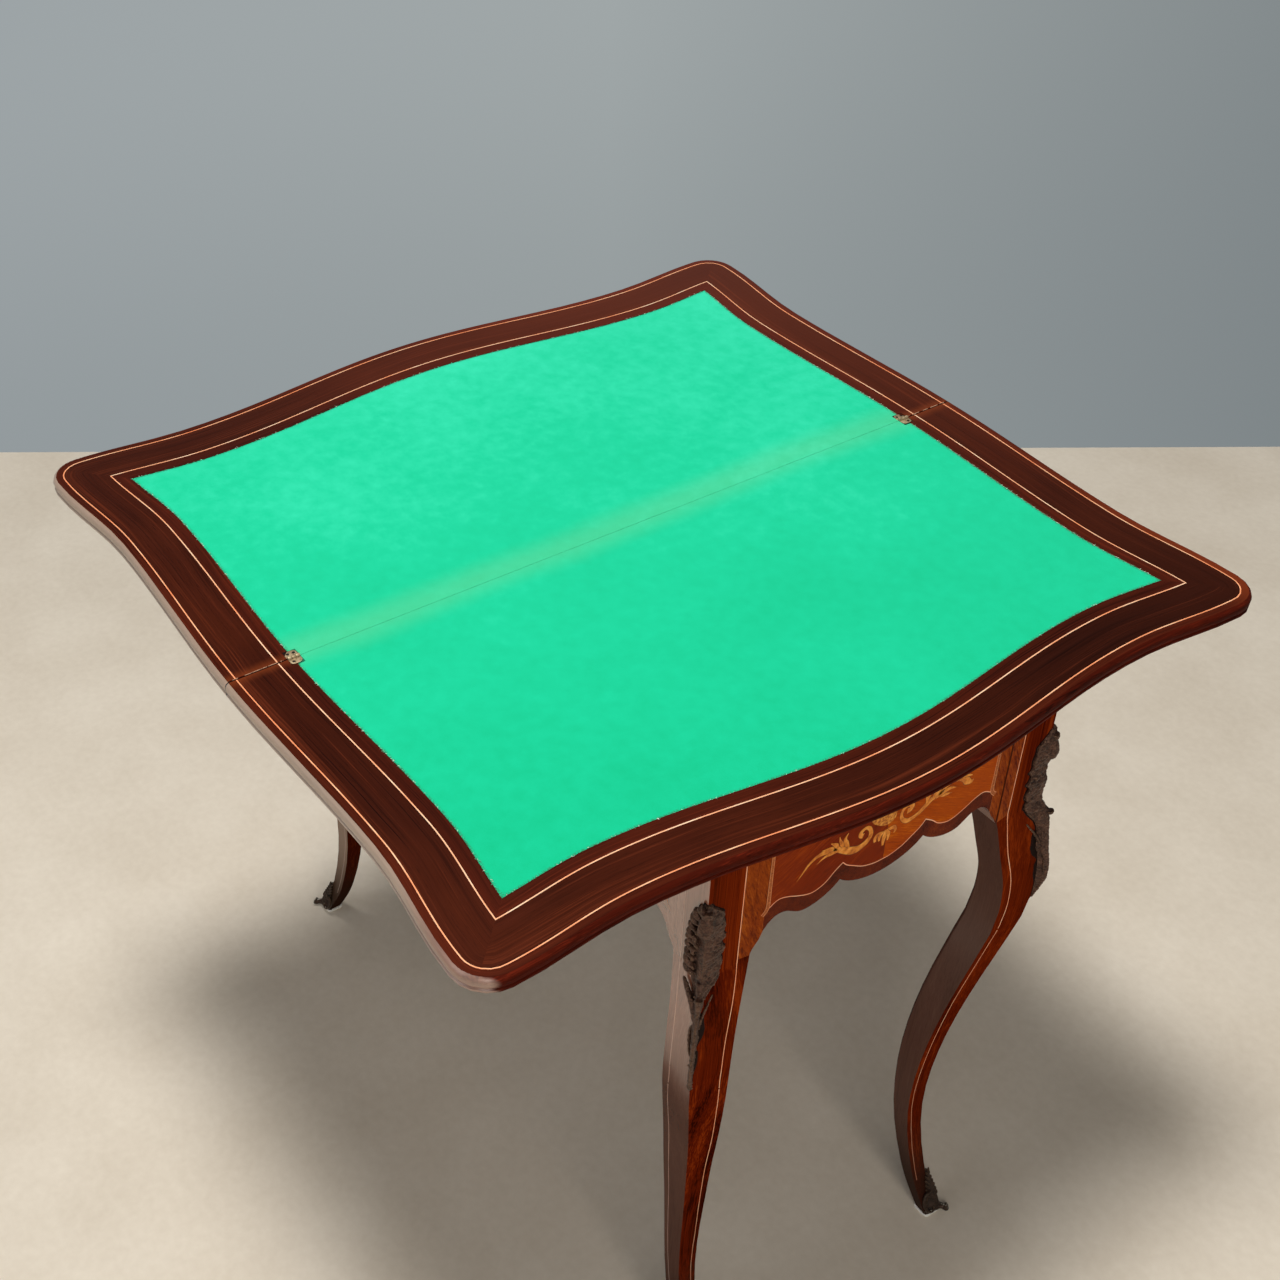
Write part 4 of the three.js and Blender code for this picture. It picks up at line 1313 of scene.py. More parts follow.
mount = cast_together("front_right_knee_mount_cast", parts, 0.6, 8, 0.5)
print("a knee mount has", len(mount.data.polygons), "faces")
to_corners(mount, "knee_mount_cast", bronze, "bronze", "knee_mount", 60)

# %% [markdown]
# ## Painted shadow round the knee mounts
# Painted shadow lies where the casting stands off the wood, with polish and dust where the rag can't reach:
# in a thin dark line round the casting, and wider in the hollows beside its tail. It is a sheet that is a
# little wider than the mount, and hardly stands off the wood.

# %% Painted shadow and old wax round the knee mounts
SHADOW_WAX_LINE = [
    (604, 1.2), (582, 1.0), (577, 4.6), (566, 5.4), (552, 5.0), (544, 1.0), (538, 3.6), (524, 3.2),
    (512, 1.0), (489, 0.8),
]


def shadow_wax_edge(z, share):
    """How far the painted shadow shows beyond the mount: most in the two hollows beside the tail."""
    return knee_edge(z, share) * 1.05 + (between(SHADOW_WAX_LINE, z) if share > 0 else 1.2 if z > 604 else 0.5)


# a dark sheet of painted shadow, with some old wax
shadow_wax_rim = shell(708, 489, shadow_wax_edge, lambda z, share: 0.25, 110, 24)
print("wax lies round", len(to_corners(shadow_wax_rim, "knee_shadow_wax", shadow_wax, "bronze", None, 60)), "mounts")

# %% [markdown]
# ## Toe mounts
# A serrated leaf climbs the toe, a C scroll lies on each face, and the toe itself ends in a rolled scroll
# that takes the knocks.

# %% Toe mounts
TOE_EDGE = [(54, 0.5), (51, 1.2), (46, 2.2), (40, 3.4), (32, 4.8), (24, 6.6), (14, 9.4), (6, 11.2), (4, 11.6)]
TOE_RIDGE = [
    (54, 0.8), (50, 1.8), (45, 2.8), (38, 3.8), (32, 4.2), (27, 4.6), (22, 4.0), (14, 3.6), (8, 4.2),
    (4, 3.8),
]


def toe_relief(z, share):
    """How far the leaf on the toe stands off the wood."""
    vein = 0.7 * abs(math.sin(math.pi * (z + 9 * abs(share)) / 6.5)) if z > 28 else 0.0
    rough = 0.5 * noise.noise(Vector((share * 4, z * 0.35, 21.0)))
    bowl = 1.6 * math.exp(-(((z - 17) / 7) ** 2) - ((abs(share) - 0.75) / 0.22) ** 2)
    return between(TOE_RIDGE, z) * (1 - abs(share) ** 1.5) + 1.6 + vein + rough - bowl


TOE_AND_CREST = [
    (
        [(6.4, 0, 1.5), (5.8, 0, 6.0), (5.2, 0, 9.5), (5.6, 0, 12.6), (6.0, 0, 13.6)],
        [4.4, 3.4, 3.0, 4.3, 4.2], 1.15, 34, 18,
    ),
    ([(48, 0, 2.6), (53, 0, 3.2), (58.5, 0, 4.4)], [2.1, 1.7, 0.7], 0.9, 14, 10),
]
C_SCROLL = [
    (31, 3.6, 5.4), (29, 7.8, 4.4), (21, 11.4, 3.4), (12, 11.8, 3.0), (6.5, 9.0, 3.4), (8.5, 5.8, 4.4),
    (13, 6.0, 4.6),
]
FOOT_ROLL = [(5, 1.0, 0.8), (5, 7.0, 0.8), (5, 12.0, 0.6), (5, 14.6, 0.2)]

parts = [shell(54, 4, lambda z, share: between(TOE_EDGE, z), toe_relief, 70, 40)]
parts += [limb(*row) for row in TOE_AND_CREST]
for z in (50, 45, 40, 35, 30, 25):
    ridge = between(TOE_RIDGE, z)
    wide = between(TOE_EDGE, z)
    spine = [(z - 3, 0, ridge), (z, 0, ridge + 1.8), (z + 3.2, 0, ridge + 2.8)]
    parts.append(limb(spine, [1.7, 1.4, 0.6], 1.0, 12, 8))
    for way in (1, -1):
        spine = [(z - 4, way * wide * 0.5, 2.8), (z, way * wide, 2.2), (z + 3.4, way * (wide + 1.3), 1.8)]
        parts.append(limb(spine, [1.4, 1.6, 0.7], 1.0, 12, 8))
for way in (1, -1):
    scroll, roll = ([(z, way * a, off) for z, a, off in spots] for spots in (C_SCROLL, FOOT_ROLL))
    parts.append(limb(scroll, [1.3, 1.9, 2.1, 2.1, 1.9, 1.7, 1.3], 0.9, 44, 10))
    parts.append(limb(roll, [2.2, 2.1, 1.9, 1.3], 1.0, 16, 8))
toe = cast_together("front_right_sabot_cast", parts, 0.5, 3, 0.25)
print("a toe mount has", len(toe.data.polygons), "faces")
to_corners(toe, "sabot_cast", bronze, "bronze", "sabot", 60)

# %% [markdown]
# ## Felt pads
# Under each foot is a pad of white felt, glued on and squeezed until it bulges round the foot. It is drawn as
# a rounded square whose side swells out, and its rim is left a little ragged.

# %% Felt pads
pad_low, pad_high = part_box("front_right_foot_pad")
pad_middle, pad_thick = (pad_low + pad_high) / 2, (pad_high.z - pad_low.z) / MM
PAD_HALF = 10.8


def pad_spot(u, v):
    """A point on the pad, which is a rounded square: u goes round it, and v from the middle of its foot up
    its side to the middle of its top."""
    turn = 2 * math.pi * u
    square = (abs(math.cos(turn)) ** 5 + abs(math.sin(turn)) ** 5) ** -0.2
    ragged = 0.25 * noise.noise(Vector((math.cos(turn) * 3, math.sin(turn) * 3, 1.0)))
    swell = math.sin(math.pi * v)
    reach = (PAD_HALF * square + ragged) * min(1, swell**0.35)
    height = pad_thick * (0.5 - 0.5 * math.cos(math.pi * min(max((v - 0.3) / 0.4, 0), 1)))
    return pad_middle.x / MM + reach * math.cos(turn), pad_middle.y / MM + reach * math.sin(turn), height


pad = outward(bent_grid("front_right_foot_pad_felt", 48, 20, pad_spot))
for twin in to_corners(pad, "foot_pad_felt", felt, "felt", "foot_pad", 50).values():
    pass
print("felt pads are", round(pad_thick, 2), "mm thick")

# %% [markdown]
# ## Aprons
# An apron's lower edge is a row of curves between two cusps. Inside the kingwood edge lies a panel of
# tulipwood whose border is a light line, and the two halves of the panel meet at the middle with mirrored
# grain. The two end aprons are alike, and so are the two long ones, so each is drawn once and turned round.

# %% Aprons
APRON_FACE = {"end": 385.0, "long": 194.0}
APRON_HALF = {"end": 143.7, "long": 346.7}
APRON_EAR = 29.0
for side in ("right", "left", "front", "back"):
    apron = copy_of_node(f"{side}_apron", f"{side}_apron_board")
    hand_over(apron, "base", apron_wood, "marquetry", [f"{side}_apron"], angle=25)


def laid_on(kind, proud):
    """Turns a place aside of an apron's middle, and below the top, into a point this proud of its face."""

    def place(aside, depth):
        if kind == "end":
            return APRON_FACE["end"] + proud, aside, TOP - depth
        return aside, -APRON_FACE["long"] - proud, TOP - depth

    return place


def stretched(kind, aside):
    """A place on the end apron as one on the longer apron: the middle stretches, and the ears don't."""
    if kind == "end":
        return aside
    inner, outer = (APRON_HALF[k] - APRON_EAR for k in ("end", "long"))
    way = 1 if aside >= 0 else -1
    aside = abs(aside)
    return way * (aside * outer / inner if aside < inner else aside - inner + outer)


APRON_LINE = [
    (0, 125.5), (10, 125), (23, 121), (33, 115), (42, 109), (47.5, 103), (56, 109), (65, 117), (76, 121),
    (85, 120), (97, 115), (107, 110), (118, 107.5), (128.5, 113),
]


def half_line(kind):
    """The inlaid line from the middle of an apron to its strap, with a sharp cusp on the way."""
    first = smoothed([*[(-a, d) for a, d in APRON_LINE[3:0:-1]], *APRON_LINE[:6]], 60)
    first = [p for p in first if p[0] >= 0]
    second = smoothed(APRON_LINE[5:], 60)
    return [Vector((stretched(kind, a), d)) for a, d in [*first, *second[1:]]]


print("the line is", len(half_line("end")), "points long on each half")


# %% Veneer as plates, strokes and ribbons
def plate(name, outline, place, up, grain_way=(1, 0)):
    """A flat piece of veneer, cut to an outline of (aside, depth)."""
    let_go()
    bpy.ops.mesh.primitive_circle_add(vertices=len(outline), radius=1, fill_type="NGON", location=(0, 0, 0))
    piece = added(name)
    chart = piece.data.uv_layers.active or piece.data.uv_layers.new(name="sheet")
    chart.name = "sheet"
    along, across = Vector(grain_way), Vector((-grain_way[1], grain_way[0]))
    for loop in piece.data.loops:
        spot = Vector(outline[loop.vertex_index])
        chart.data[loop.index].uv = (spot.dot(along) * MM, spot.dot(across) * MM)
    for vertex, spot in zip(piece.data.vertices, outline):
        vertex.co = Vector(place(*spot)) * MM
    return outward(thickened(piece, VENEER, up))


def stroke(name, spine, widths, place, count, up):
    """A brush stroke of inlay: a ribbon along a smooth line, with a width at each of its points."""
    line = smoothed(spine, count)
    broad = smoothed([(w, 0.0) for w in widths], count)
    rungs = []
    for k, p in enumerate(line):
        ahead = line[min(k + 1, count - 1)] - line[max(k - 1, 0)]
        aside = Vector((-ahead.y, ahead.x)).normalized()
        rungs.append((p - aside * broad[k][0] / 2, p + aside * broad[k][0] / 2))

    def spot(u, v):
        a, b = rungs[round(u * (count - 1))]
        return place(*a.lerp(b, v))

    length = sum((b - a).length for a, b in zip(line, line[1:])) * MM
    piece = bent_grid(name, count - 1, 4, spot, (length * 100, 1))
    return outward(thickened(piece, VENEER, up))


def ribbon(name, line, width, place, up):
    """A thin line of even width, mitred at its sharp bends."""
    count = len(line)
    rungs = []
    for k, p in enumerate(line):
        before = (p - line[k - 1]).normalized() if k else (line[1] - p).normalized()
        after = (line[k + 1] - p).normalized() if k < count - 1 else before
        a, b = Vector((-before.y, before.x)), Vector((-after.y, after.x))
        rungs.append((a + b) / max(1 + a.dot(b), 0.3))

    def spot(u, v):
        k = round(u * (count - 1))
        return place(*(line[k] + rungs[k] * (v - 0.5) * width))

    return outward(thickened(bent_grid(name, count - 1, 1, spot, (0.3, 0.001)), VENEER, up))


def turned(piece, name):
    """A copy on the other side of the table, turned half a turn."""
    twin = copied(piece, name)
    twin.data.transform(Matrix.Rotation(math.pi, 4, "Z"))
    return twin


APRON_PAIRS = {"end": ("right", "left", (1, 0, 0)), "long": ("front", "back", (0, -1, 0))}


def both_aprons(kind, part, piece, finish):
    """Hands a piece of an apron over, with its copy on the opposite apron."""
    near, far, _ = APRON_PAIRS[kind]
    piece.name = piece.data.name = f"{near}_apron_{part}"
    for p in (turned(piece, f"{far}_apron_{part}"), piece):
        hand_over(p, "base", finish, "marquetry")


print("both aprons of a pair are made from one:", [pair[:2] for pair in APRON_PAIRS.values()])

# %% [markdown]
# ## Panels, lines and straps
# The two halves of a panel are cut from one leaf of tulipwood and opened like a book, so that their grain
# runs up to the middle. A light line follows their lower edge, a narrow strap ends them at both sides, and
# burr wood fills the ears and the posts. At the joint the near half runs a hair under the far one.

# %% Panels, lines and straps
HALVES = (("near", -1), ("far", 1))
PANEL_TOP = 16.2
PANEL_FOOT = 125.5
STRAP_PLACE = 128.5
STRAP = [(0, 16.5), (0, 50), (0, 90), (0, 108), (1.5, 114), (5.5, 118)]
STRAP_WIDTHS = [3.2, 3.2, 3.0, 2.8, 3.0, 4.4]
BURR_SIDES = (130.3, 143.5)
BURR_FOOT = {
    "end": [(143.5, 157), (135, 146), (131.5, 138)],
    "long": [(143.5, 157), (134.5, 146), (131.5, 138)],
}
POST_SIDES = {"end": (144.4, 156.9), "long": (347.4, 356.4)}
BOOK_LEAN = 0.5
BURR_GRAIN = (0.3, 0.95)
for kind, (_, _, up) in APRON_PAIRS.items():
    line = half_line(kind)
    strap = stretched(kind, STRAP_PLACE)
    post_in, post_out = POST_SIDES[kind]
    for half, way in HALVES:
        lap = [(0.4, PANEL_TOP), (0.4, PANEL_FOOT)] if way < 0 else [(0.0, PANEL_TOP)]
        outline = [*lap, *[(a * way, d) for a, d in line], (strap * way, PANEL_TOP)]
        grain_way = (math.cos(BOOK_LEAN), way * math.sin(BOOK_LEAN))
        flat = plate("panel", outline, laid_on(kind, 0.12 if way > 0 else 0.1), up, grain_way)
        # the near half takes the darker wood: painted shade
        both_aprons(kind, f"{half}_panel", flat, dark_panel if way < 0 else panel_wood)

    whole = [*[Vector((-a, d)) for a, d in reversed(line)], *line[1:]]
    rim = ribbon("rim", whole, LINE_WIDTH, laid_on(kind, 0.18), up)
    both_aprons(kind, "line", rim, string_wood)

    for half, way in HALVES:
        spine = [((strap + a) * way, d) for a, d in STRAP]
        band = stroke("strap", spine, STRAP_WIDTHS, laid_on(kind, 0.22), 40, up)
        both_aprons(kind, f"{half}_strap", band, strap_wood)

        burr = [(stretched(kind, a) * way, PANEL_TOP) for a in BURR_SIDES]
        burr += [(stretched(kind, a) * way, d) for a, d in BURR_FOOT[kind]]
        flat = plate("burr", burr, laid_on(kind, 0.12), up, BURR_GRAIN)
        both_aprons(kind, f"{half}_burr", flat, burr_wood)

        post = [(post_in, PANEL_TOP), (post_out, PANEL_TOP), (post_out, 156), (post_in, 158.5)]
        flat = plate("burr", [(a * way, d) for a, d in post], laid_on(kind, 1.12), up, BURR_GRAIN)
        both_aprons(kind, f"{half}_post_burr", flat, burr_wood)
    print(kind, "aprons have panels, lines and straps")

# %% [markdown]
# ## Engraved scrolls
# Each half of an end apron has a C scroll that springs from a curled eye and runs out in acanthus leaves,
# and a small drape with five fingers hangs between them. The two halves differ a little, as they do on a
# cut pair. Every leaf and stem is one stroke: a spine and a width at each point of it.

# %% Scrolls
FAR_STROKES = [
    (
        [
            (21.6, 79.6), (24.6, 79.4), (26.8, 77.0), (25.4, 73.8), (21.0, 72.4), (16.8, 75.2),
            (15.2, 80.5), (17.3, 87.0), (22.8, 91.6), (29.5, 91.8), (36.8, 89.6), (42.5, 85.6),
            (47.5, 81.8), (53.0, 79.0), (56.5, 75.5),
        ],
        [4.4, 3.6, 2.4, 2.2, 2.4, 2.8, 3.4, 3.6, 3.6, 3.0, 3.0, 3.4, 3.6, 4.2, 3.0],
    ),
    ([(44.3, 83.0), (45.1, 76.0), (45.5, 70.0), (46.2, 64.0)], [1.2, 3.8, 3.4, 0.4]),
    ([(51.5, 82.0), (55.6, 75.5), (58.2, 69.5), (60.4, 63.0)], [2.4, 6.2, 5.8, 1.0]),
    ([(58.0, 79.0), (66.3, 74.2), (72.6, 72.6), (81.0, 71.0)], [2.4, 2.6, 2.4, 0.6]),
    ([(62.6, 76.0), (64.4, 71.6), (68.0, 69.0)], [1.0, 2.8, 0.5]),
    ([(78.0, 73.5), (84.4, 73.0), (90.0, 73.4), (97.5, 76.0)], [1.2, 2.8, 2.8, 0.6]),
    ([(82.0, 74.2), (88.5, 77.6), (93.6, 82.0), (98.0, 84.2), (99.8, 82.0)], [1.0, 3.6, 5.4, 4.8, 1.4]),
    ([(55.0, 81.4), (65.0, 79.0), (71.5, 78.6), (79.5, 81.4)], [2.0, 4.0, 3.4, 0.4]),
    ([(60.0, 82.0), (67.0, 83.6), (75.0, 85.2)], [1.2, 2.6, 0.4]),
    ([(69.5, 63.8), (74.0, 62.2), (79.0, 63.4)], [0.8, 2.6, 0.5]),
]
NEAR_STROKES = [
    (
        [
            (-27.8, 82.2), (-30.8, 80.6), (-31.2, 77.4), (-28.4, 74.8), (-24.1, 74.6), (-20.0, 79.4),
            (-19.2, 86.6), (-23.6, 92.2), (-30.1, 94.8), (-37.0, 94.2), (-45.1, 90.2), (-52.8, 85.0),
            (-60.5, 80.0),
        ],
        [4.6, 4.0, 3.2, 3.0, 3.2, 3.4, 3.6, 3.6, 3.4, 4.0, 5.6, 7.2, 4.2],
    ),
    ([(-43.6, 87.0), (-47.5, 79.6), (-48.8, 74.5), (-46.2, 69.0)], [2.0, 4.6, 4.2, 0.6]),
    ([(-50.0, 84.0), (-52.9, 77.0), (-54.8, 72.6), (-55.8, 68.4)], [2.0, 3.6, 3.0, 0.5]),
    ([(-55.5, 81.4), (-59.6, 75.6), (-65.0, 71.2)], [2.0, 4.2, 0.6]),
    (
        [
            (-57.0, 82.0), (-69.3, 78.6), (-77.3, 78.2), (-84.0, 80.6), (-89.4, 85.0), (-93.6, 90.4),
            (-99.4, 97.0),
        ],
        [4.0, 4.0, 4.2, 5.0, 4.8, 3.2, 0.4],
    ),
    ([(-56.0, 85.0), (-65.9, 83.6), (-72.0, 84.6), (-78.6, 88.0)], [2.0, 3.6, 3.0, 0.4]),
    ([(-59.0, 78.6), (-67.5, 75.8), (-74.6, 74.6)], [1.6, 2.4, 0.4]),
]
MIDDLE = [
    ([(-3.0, 91.0), (-9.5, 90.6), (-12.8, 93.2), (-12.4, 98.4)], [1.4, 2.8, 3.0, 1.6]),
    ([(-2.1, 91.2), (-6.4, 92.2), (-7.8, 95.4), (-7.5, 99.6)], [1.4, 2.8, 3.0, 1.2]),
    ([(-0.7, 89.5), (-1.8, 97.0), (-2.4, 102.0), (-2.2, 107.6)], [2.4, 3.6, 3.4, 1.4]),
    ([(0.2, 91.0), (2.7, 96.0), (2.9, 99.8), (2.6, 104.0)], [1.6, 2.8, 2.6, 0.8]),
    ([(0.0, 90.6), (3.8, 90.6), (8.2, 91.2), (10.6, 95.2), (9.2, 98.4)], [1.6, 2.8, 2.8, 2.8, 1.2]),
]
DRAPE = [
    (-20.0, 62.0), (-19.5, 70.5), (-17.0, 74.5), (-11.0, 79.2), (-5.0, 82.8), (1.0, 83.8), (5.4, 82.6),
    (8.6, 79.4), (9.2, 74.0), (8.0, 62.0),
]
LONG_APART = 40.0
print("strokes", len(FAR_STROKES), "far,", len(NEAR_STROKES), "near, and", len(MIDDLE), "between them")

# %% [markdown]
# ## Laying the scrolls
# On the long aprons the two halves stand further apart. Strokes that follow each other lie at heights that
# differ by a hundredth of a millimetre or more, so that where two cross, one clearly covers the other.

# %% Lay the scrolls
for kind, (_, _, up) in APRON_PAIRS.items():
    marks = []
    apart = 0.0 if kind == "end" else LONG_APART
    groups = ((FAR_STROKES, apart, 1.7), (NEAR_STROKES, -apart, 1.35), (MIDDLE, 0.0, 1.75))
    for strokes, aside, broad in groups:
        for k, (spine, widths) in enumerate(strokes):
            path = [(a + aside, d) for a, d in spine]
            place = laid_on(kind, 0.20 + 0.01 * (k % 4))
            count = 90 if len(spine) > 8 else 28
            marks.append(stroke("mark", path, [w * broad for w in widths], place, count, up))
    both_aprons(kind, "scrolls", joined("scrolls", marks), scroll_wood)
    both_aprons(kind, "drape", plate("drape", DRAPE, laid_on(kind, 0.2), up), patch_wood)
    print(kind, "aprons have", len(marks), "engraved strokes")

# %% [markdown]
# ## Camera
# The photo was taken from above one corner. Its place, lens and shift were worked out from the table's own
# corners, seam and legs, so the picture plane has the same frame.

# %% Camera
eye = Vector((1128.9, -858.1, 1762.9)) * MM
azimuth, elevation, roll = (math.radians(a) for a in (56.89, 38.61, -0.25))
level = math.cos(elevation)
back = Vector((math.sin(azimuth) * level, -math.cos(azimuth) * level, math.sin(elevation)))
right = (-back).cross(Vector((0, 0, 1))).normalized()
upward = right.cross(-back)
across = right * math.cos(roll) + upward * math.sin(roll)
upward = -right * math.sin(roll) + upward * math.cos(roll)
lens = bpy.data.cameras.new("photo_view")
lens.sensor_width, lens.lens = 36.0, 50.28
lens.shift_x, lens.shift_y = 0.0938, 0.002
lens.clip_start, lens.clip_end = 0.05, 40
camera = bpy.data.objects.new("photo_view", lens)
bpy.context.scene.collection.objects.link(camera)
camera.matrix_world = Matrix.Translation(eye) @ Matrix((across, upward, back)).transposed().to_4x4()
bpy.context.scene.camera = camera
print("camera at", [round(v, 3) for v in eye])

# %% [markdown]
# ## Studio
# The table stands on a pale floor that ends where the backdrop begins. The floor is a little scuffed and
# gritty, so that the shadows of the legs fall on something real.

# %% Floor
floor_finish = Finish("studio_floor", Roughness=0.75, Specular_IOR_Level=0.2)
x, y, z = floor_finish.place()
scuff = floor_finish.speckle(x * 5.0, y * 5.0, z, 1.0, 6.0, 0.6)
grit = floor_finish.speckle(x * 90.0, y * 90.0, z, 1.0, 3.0)
floor_finish.wear(
    Base_Color=floor_finish.ramp(scuff * 0.7 + grit * 0.3, (0.3, hue("#dacfbf")), (0.7, hue("#ece3d5"))),
    Normal=floor_finish.bumped(grit, 0.1, 0.0005),
)
forward = Vector((-math.sin(azimuth), math.cos(azimuth), 0))
sideways = Vector((math.cos(azimuth), math.sin(azimuth), 0))
let_go()
bpy.ops.mesh.primitive_grid_add(x_subdivisions=8, y_subdivisions=8, size=1, location=(0, 0, 0))
floor = bpy.context.active_object
floor.name = "studio_floor"
FLOOR_END = 2.771
FLOOR_DEPTH = 6.5
FLOOR_WIDTH = 9
for vertex in floor.data.vertices:
    u, v = vertex.co.x, vertex.co.y + 0.5
    ahead = forward * (FLOOR_END - FLOOR_DEPTH * (1 - v))
    vertex.co = Vector((eye.x, eye.y, 0)) + ahead + sideways * u * FLOOR_WIDTH
floor.data.materials.append(floor_finish.material)
print("the floor ends", FLOOR_END, "m in front of the camera")

# %% [markdown]
# ## Backdrop and lamps
# The world's colour is the backdrop: a grey wall that is darker at the right and low down. Above, it is
# nearly black, which keeps the polish of the top deep. One soft lamp hangs over the table, and two larger
# ones fill in from the front and from the left. The wall is written with the same small tools as a finish.

# %% Backdrop and lamps
bpy.context.scene.view_settings.view_transform = "Standard"
world = bpy.data.worlds.new("studio_backdrop")
bpy.context.scene.world = world
world.use_nodes = True
backdrop = world.node_tree.nodes["Background"]
sky = Finish.__new__(Finish)
sky.tree, sky.surface = world.node_tree, backdrop
ahead = sky.node("ShaderNodeTexCoord", out="Generated")
look_x, look_y, look_z = [sky.node("ShaderNodeSeparateXYZ", None, {0: ahead}, out=i) for i in range(3)]
to_left = look_x * -sideways.x + look_y * -sideways.y
wall = sky.ramp((to_left + 0.45) / 0.8, (0.05, hue("#81888a")), (0.5, hue("#a0a7a8")), (1.0, hue("#9ca3a6")))
wall = sky.mixed((look_z + to_left * 0.12).step(-0.52, -0.3), sky.mixed(0.3, wall, hue("#767e82")), wall)
sky.wear(Color=sky.mixed(look_z.step(0.25, 0.55), wall, hue("#1c1e20")), Strength=1.0)


def lamp(name, place, aim, size, power, tint="#ffffff"):
    """A soft square lamp that looks at a point."""
    light = bpy.data.lights.new(name, "AREA")
    light.shape, light.size, light.energy = "SQUARE", size, power
    light.color = hue(tint)
    holder = bpy.data.objects.new(name, light)
    bpy.context.scene.collection.objects.link(holder)
    holder.location = place
    holder.rotation_euler = (Vector(aim) - Vector(place)).to_track_quat("-Z", "Y").to_euler()


middle = Vector((0, 0, 0.6))
lamp("overhead_softbox", (-0.3, -0.4, 5.0), middle, 1.05, 174, "#fffcf6")
lamp("front_fill", middle - forward * 3.2 + sideways * 0.6 + Vector((0, 0, 2.0)), middle, 2.0, 46, "#fff6ea")
lamp("left_fill", middle - forward * 1.4 - sideways * 3.4 + Vector((0, 0, 2.4)), middle, 2.4, 18)

# %% [markdown]
# ## The parts that stay as the CAD made them
# Rails, blocks and bolts inside the frame are plain shapes. Each is copied, merged, and given small bevels,
# because no sawn or turned edge is perfectly sharp.

# %% Inside and hardware
INSIDE = {
    "base": [
        *[(f"{c}_corner_block", oak_wood, "oak", 1.0) for c in CORNERS],
        ("pivot_rail", oak_wood, "oak", 1.2),
        ("well_floor", oak_wood, "oak", 0.8),
        ("front_floor_runner", oak_wood, "oak", 0.8),
        ("back_floor_runner", oak_wood, "oak", 0.8),
    ],
    "swivel_top": [
        ("swivel_stop", oak_wood, "oak", 0.8),
        ("pivot_plate", iron, "iron", 0.4),
        ("pivot_bolt", iron, "iron", 0.3),
        ("pivot_washer", iron, "iron", 0.2),
        ("pivot_nut", iron, "iron", 0.4),
    ],
}
for body, rows in INSIDE.items():
    for node, finish, slot, bevel in rows:
        piece = eased(copy_of_node(node, f"{node}_dressed"), bevel, 40)
        hand_over(piece, body, finish, slot, [node])
    print(body, "has", len(rows), "dressed parts")

# %% [markdown]
# ## Seam hinges
# A small brass hinge is let in at each end of the seam, in the cloth's corner. Its two leaves have rounded
# ends, its barrel is rolled in three knuckles round a pin, and small dark screws hold it: one in its lower
# leaf, and two in its upper one.


# %% Hinge pieces
HINGE_ENDS = (353.0, 365.0)
HINGE_MIDDLE = 359.0
HINGE_TOP = 774.7
HINGE_THICK = 1.2
PIN_HEIGHT = 775.25
BARREL = 1.85
KNUCKLE = 3.7


def tab(reach, way):
    """A brass leaf with two rounded corners, from the barrel out to its reach."""
    let_go()
    bpy.ops.mesh.primitive_plane_add(size=1, location=(0, 0, 0))
    piece = added("tab")
    for vertex in piece.data.vertices:
        x = reach if vertex.co.x > 0 else 1.2
        y = HINGE_ENDS[1] if vertex.co.y > 0 else HINGE_ENDS[0]
        vertex.co = Vector((x * way, -y, HINGE_TOP - HINGE_THICK)) * MM
    ends = bmesh.new()
    ends.from_mesh(piece.data)
    outer = [v for v in ends.verts if abs(v.co.x) > reach * MM * 0.9]
    bmesh.ops.bevel(ends, geom=outer, offset=4.2 * MM, segments=8, profile=0.5, affect="VERTICES")
    ends.to_mesh(piece.data)
    ends.free()
    rise = {"value": (0, 0, HINGE_THICK * MM)}
    in_edit(piece, (bpy.ops.mesh.extrude_region_move, {"TRANSFORM_OT_translate": rise}))
    return eased(outward(piece), 0.25)


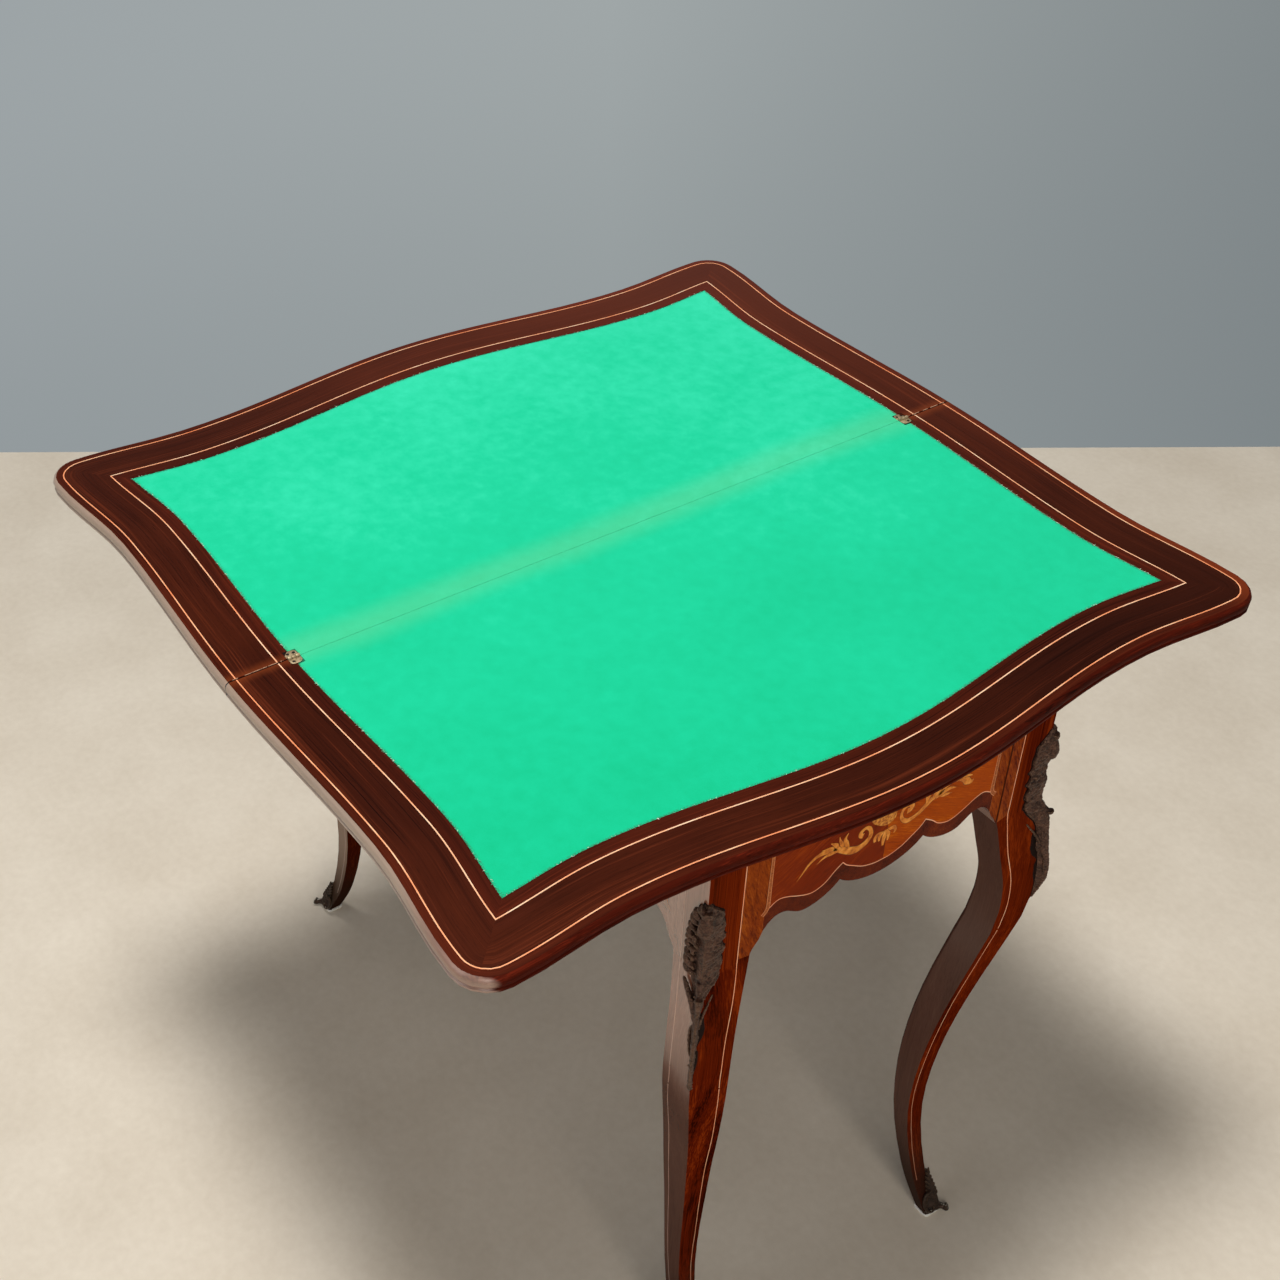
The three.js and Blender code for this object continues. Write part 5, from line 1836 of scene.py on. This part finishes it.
def rod(name, radius, spot, length, along="Y", sides=28, bevel=0.2):
    """A turned rod or disc with eased edges, about a spot in millimetres."""
    let_go()
    turn = (math.pi / 2, 0, 0) if along == "Y" else (0, 0, 0)
    bpy.ops.mesh.primitive_cylinder_add(
        vertices=sides, radius=radius * MM, depth=length * MM, location=Vector(spot) * MM, rotation=turn
    )
    piece = added(name)
    bpy.ops.object.transform_apply(location=True, rotation=True, scale=True)
    return eased(piece, bevel)


def knuckle(y):
    """One of the three rolls of the barrel."""
    return rod("knuckle", BARREL, (0, -y, PIN_HEIGHT), KNUCKLE)


def screw(spot):
    """A small screw head, nearly flush with its leaf. Its mesh is cut along the line of its slot."""
    head = rod("screw", 1.5, spot, 0.5, "Z", 20, 0.15)
    in_edit(head, (bpy.ops.mesh.bisect, {"plane_co": Vector(spot) * MM, "plane_no": (1, 0.4, 0)}))
    return head


print("a barrel is", round(2 * BARREL, 2), "mm thick, round a pin", PIN_HEIGHT, "mm high")

# %% Seam hinges
SCREWS = {"lower": [(5.4, -361.4, 774.6)], "upper": [(-6.2, -361.8, 774.6), (-6.2, -356.0, 774.6)]}
for end, side in (("front", 1), ("back", -1)):
    halves = {
        "lower": [tab(8.4, 1), knuckle(HINGE_MIDDLE - 4), knuckle(HINGE_MIDDLE + 4)],
        "upper": [tab(10.0, -1), knuckle(HINGE_MIDDLE)],
    }
    for leaf, pieces in halves.items():
        half = joined(f"{end}_hinge_{leaf}_leaf", pieces)
        heads = joined(f"{end}_hinge_{leaf}_screws", [screw(spot) for spot in SCREWS[leaf]])
        for piece, finish, replaced in ((half, brass, [f"{end}_hinge_{leaf}_half"]), (heads, iron, ())):
            if side < 0:
                piece.data.transform(Matrix.Diagonal((1, -1, 1, 1)))
                outward(piece)
            hand_over(piece, LEAF_SIDES[leaf][0], finish, "brass", replaced)
    pin = rod(f"{end}_hinge_pin_turned", 0.8, (0, -HINGE_MIDDLE * side, PIN_HEIGHT), 11.9, "Y", 16, 0.15)
    hand_over(pin, "swivel_top", brass, "brass", [f"{end}_hinge_pin"])
    print(end, "hinge is made")

# %% [markdown]
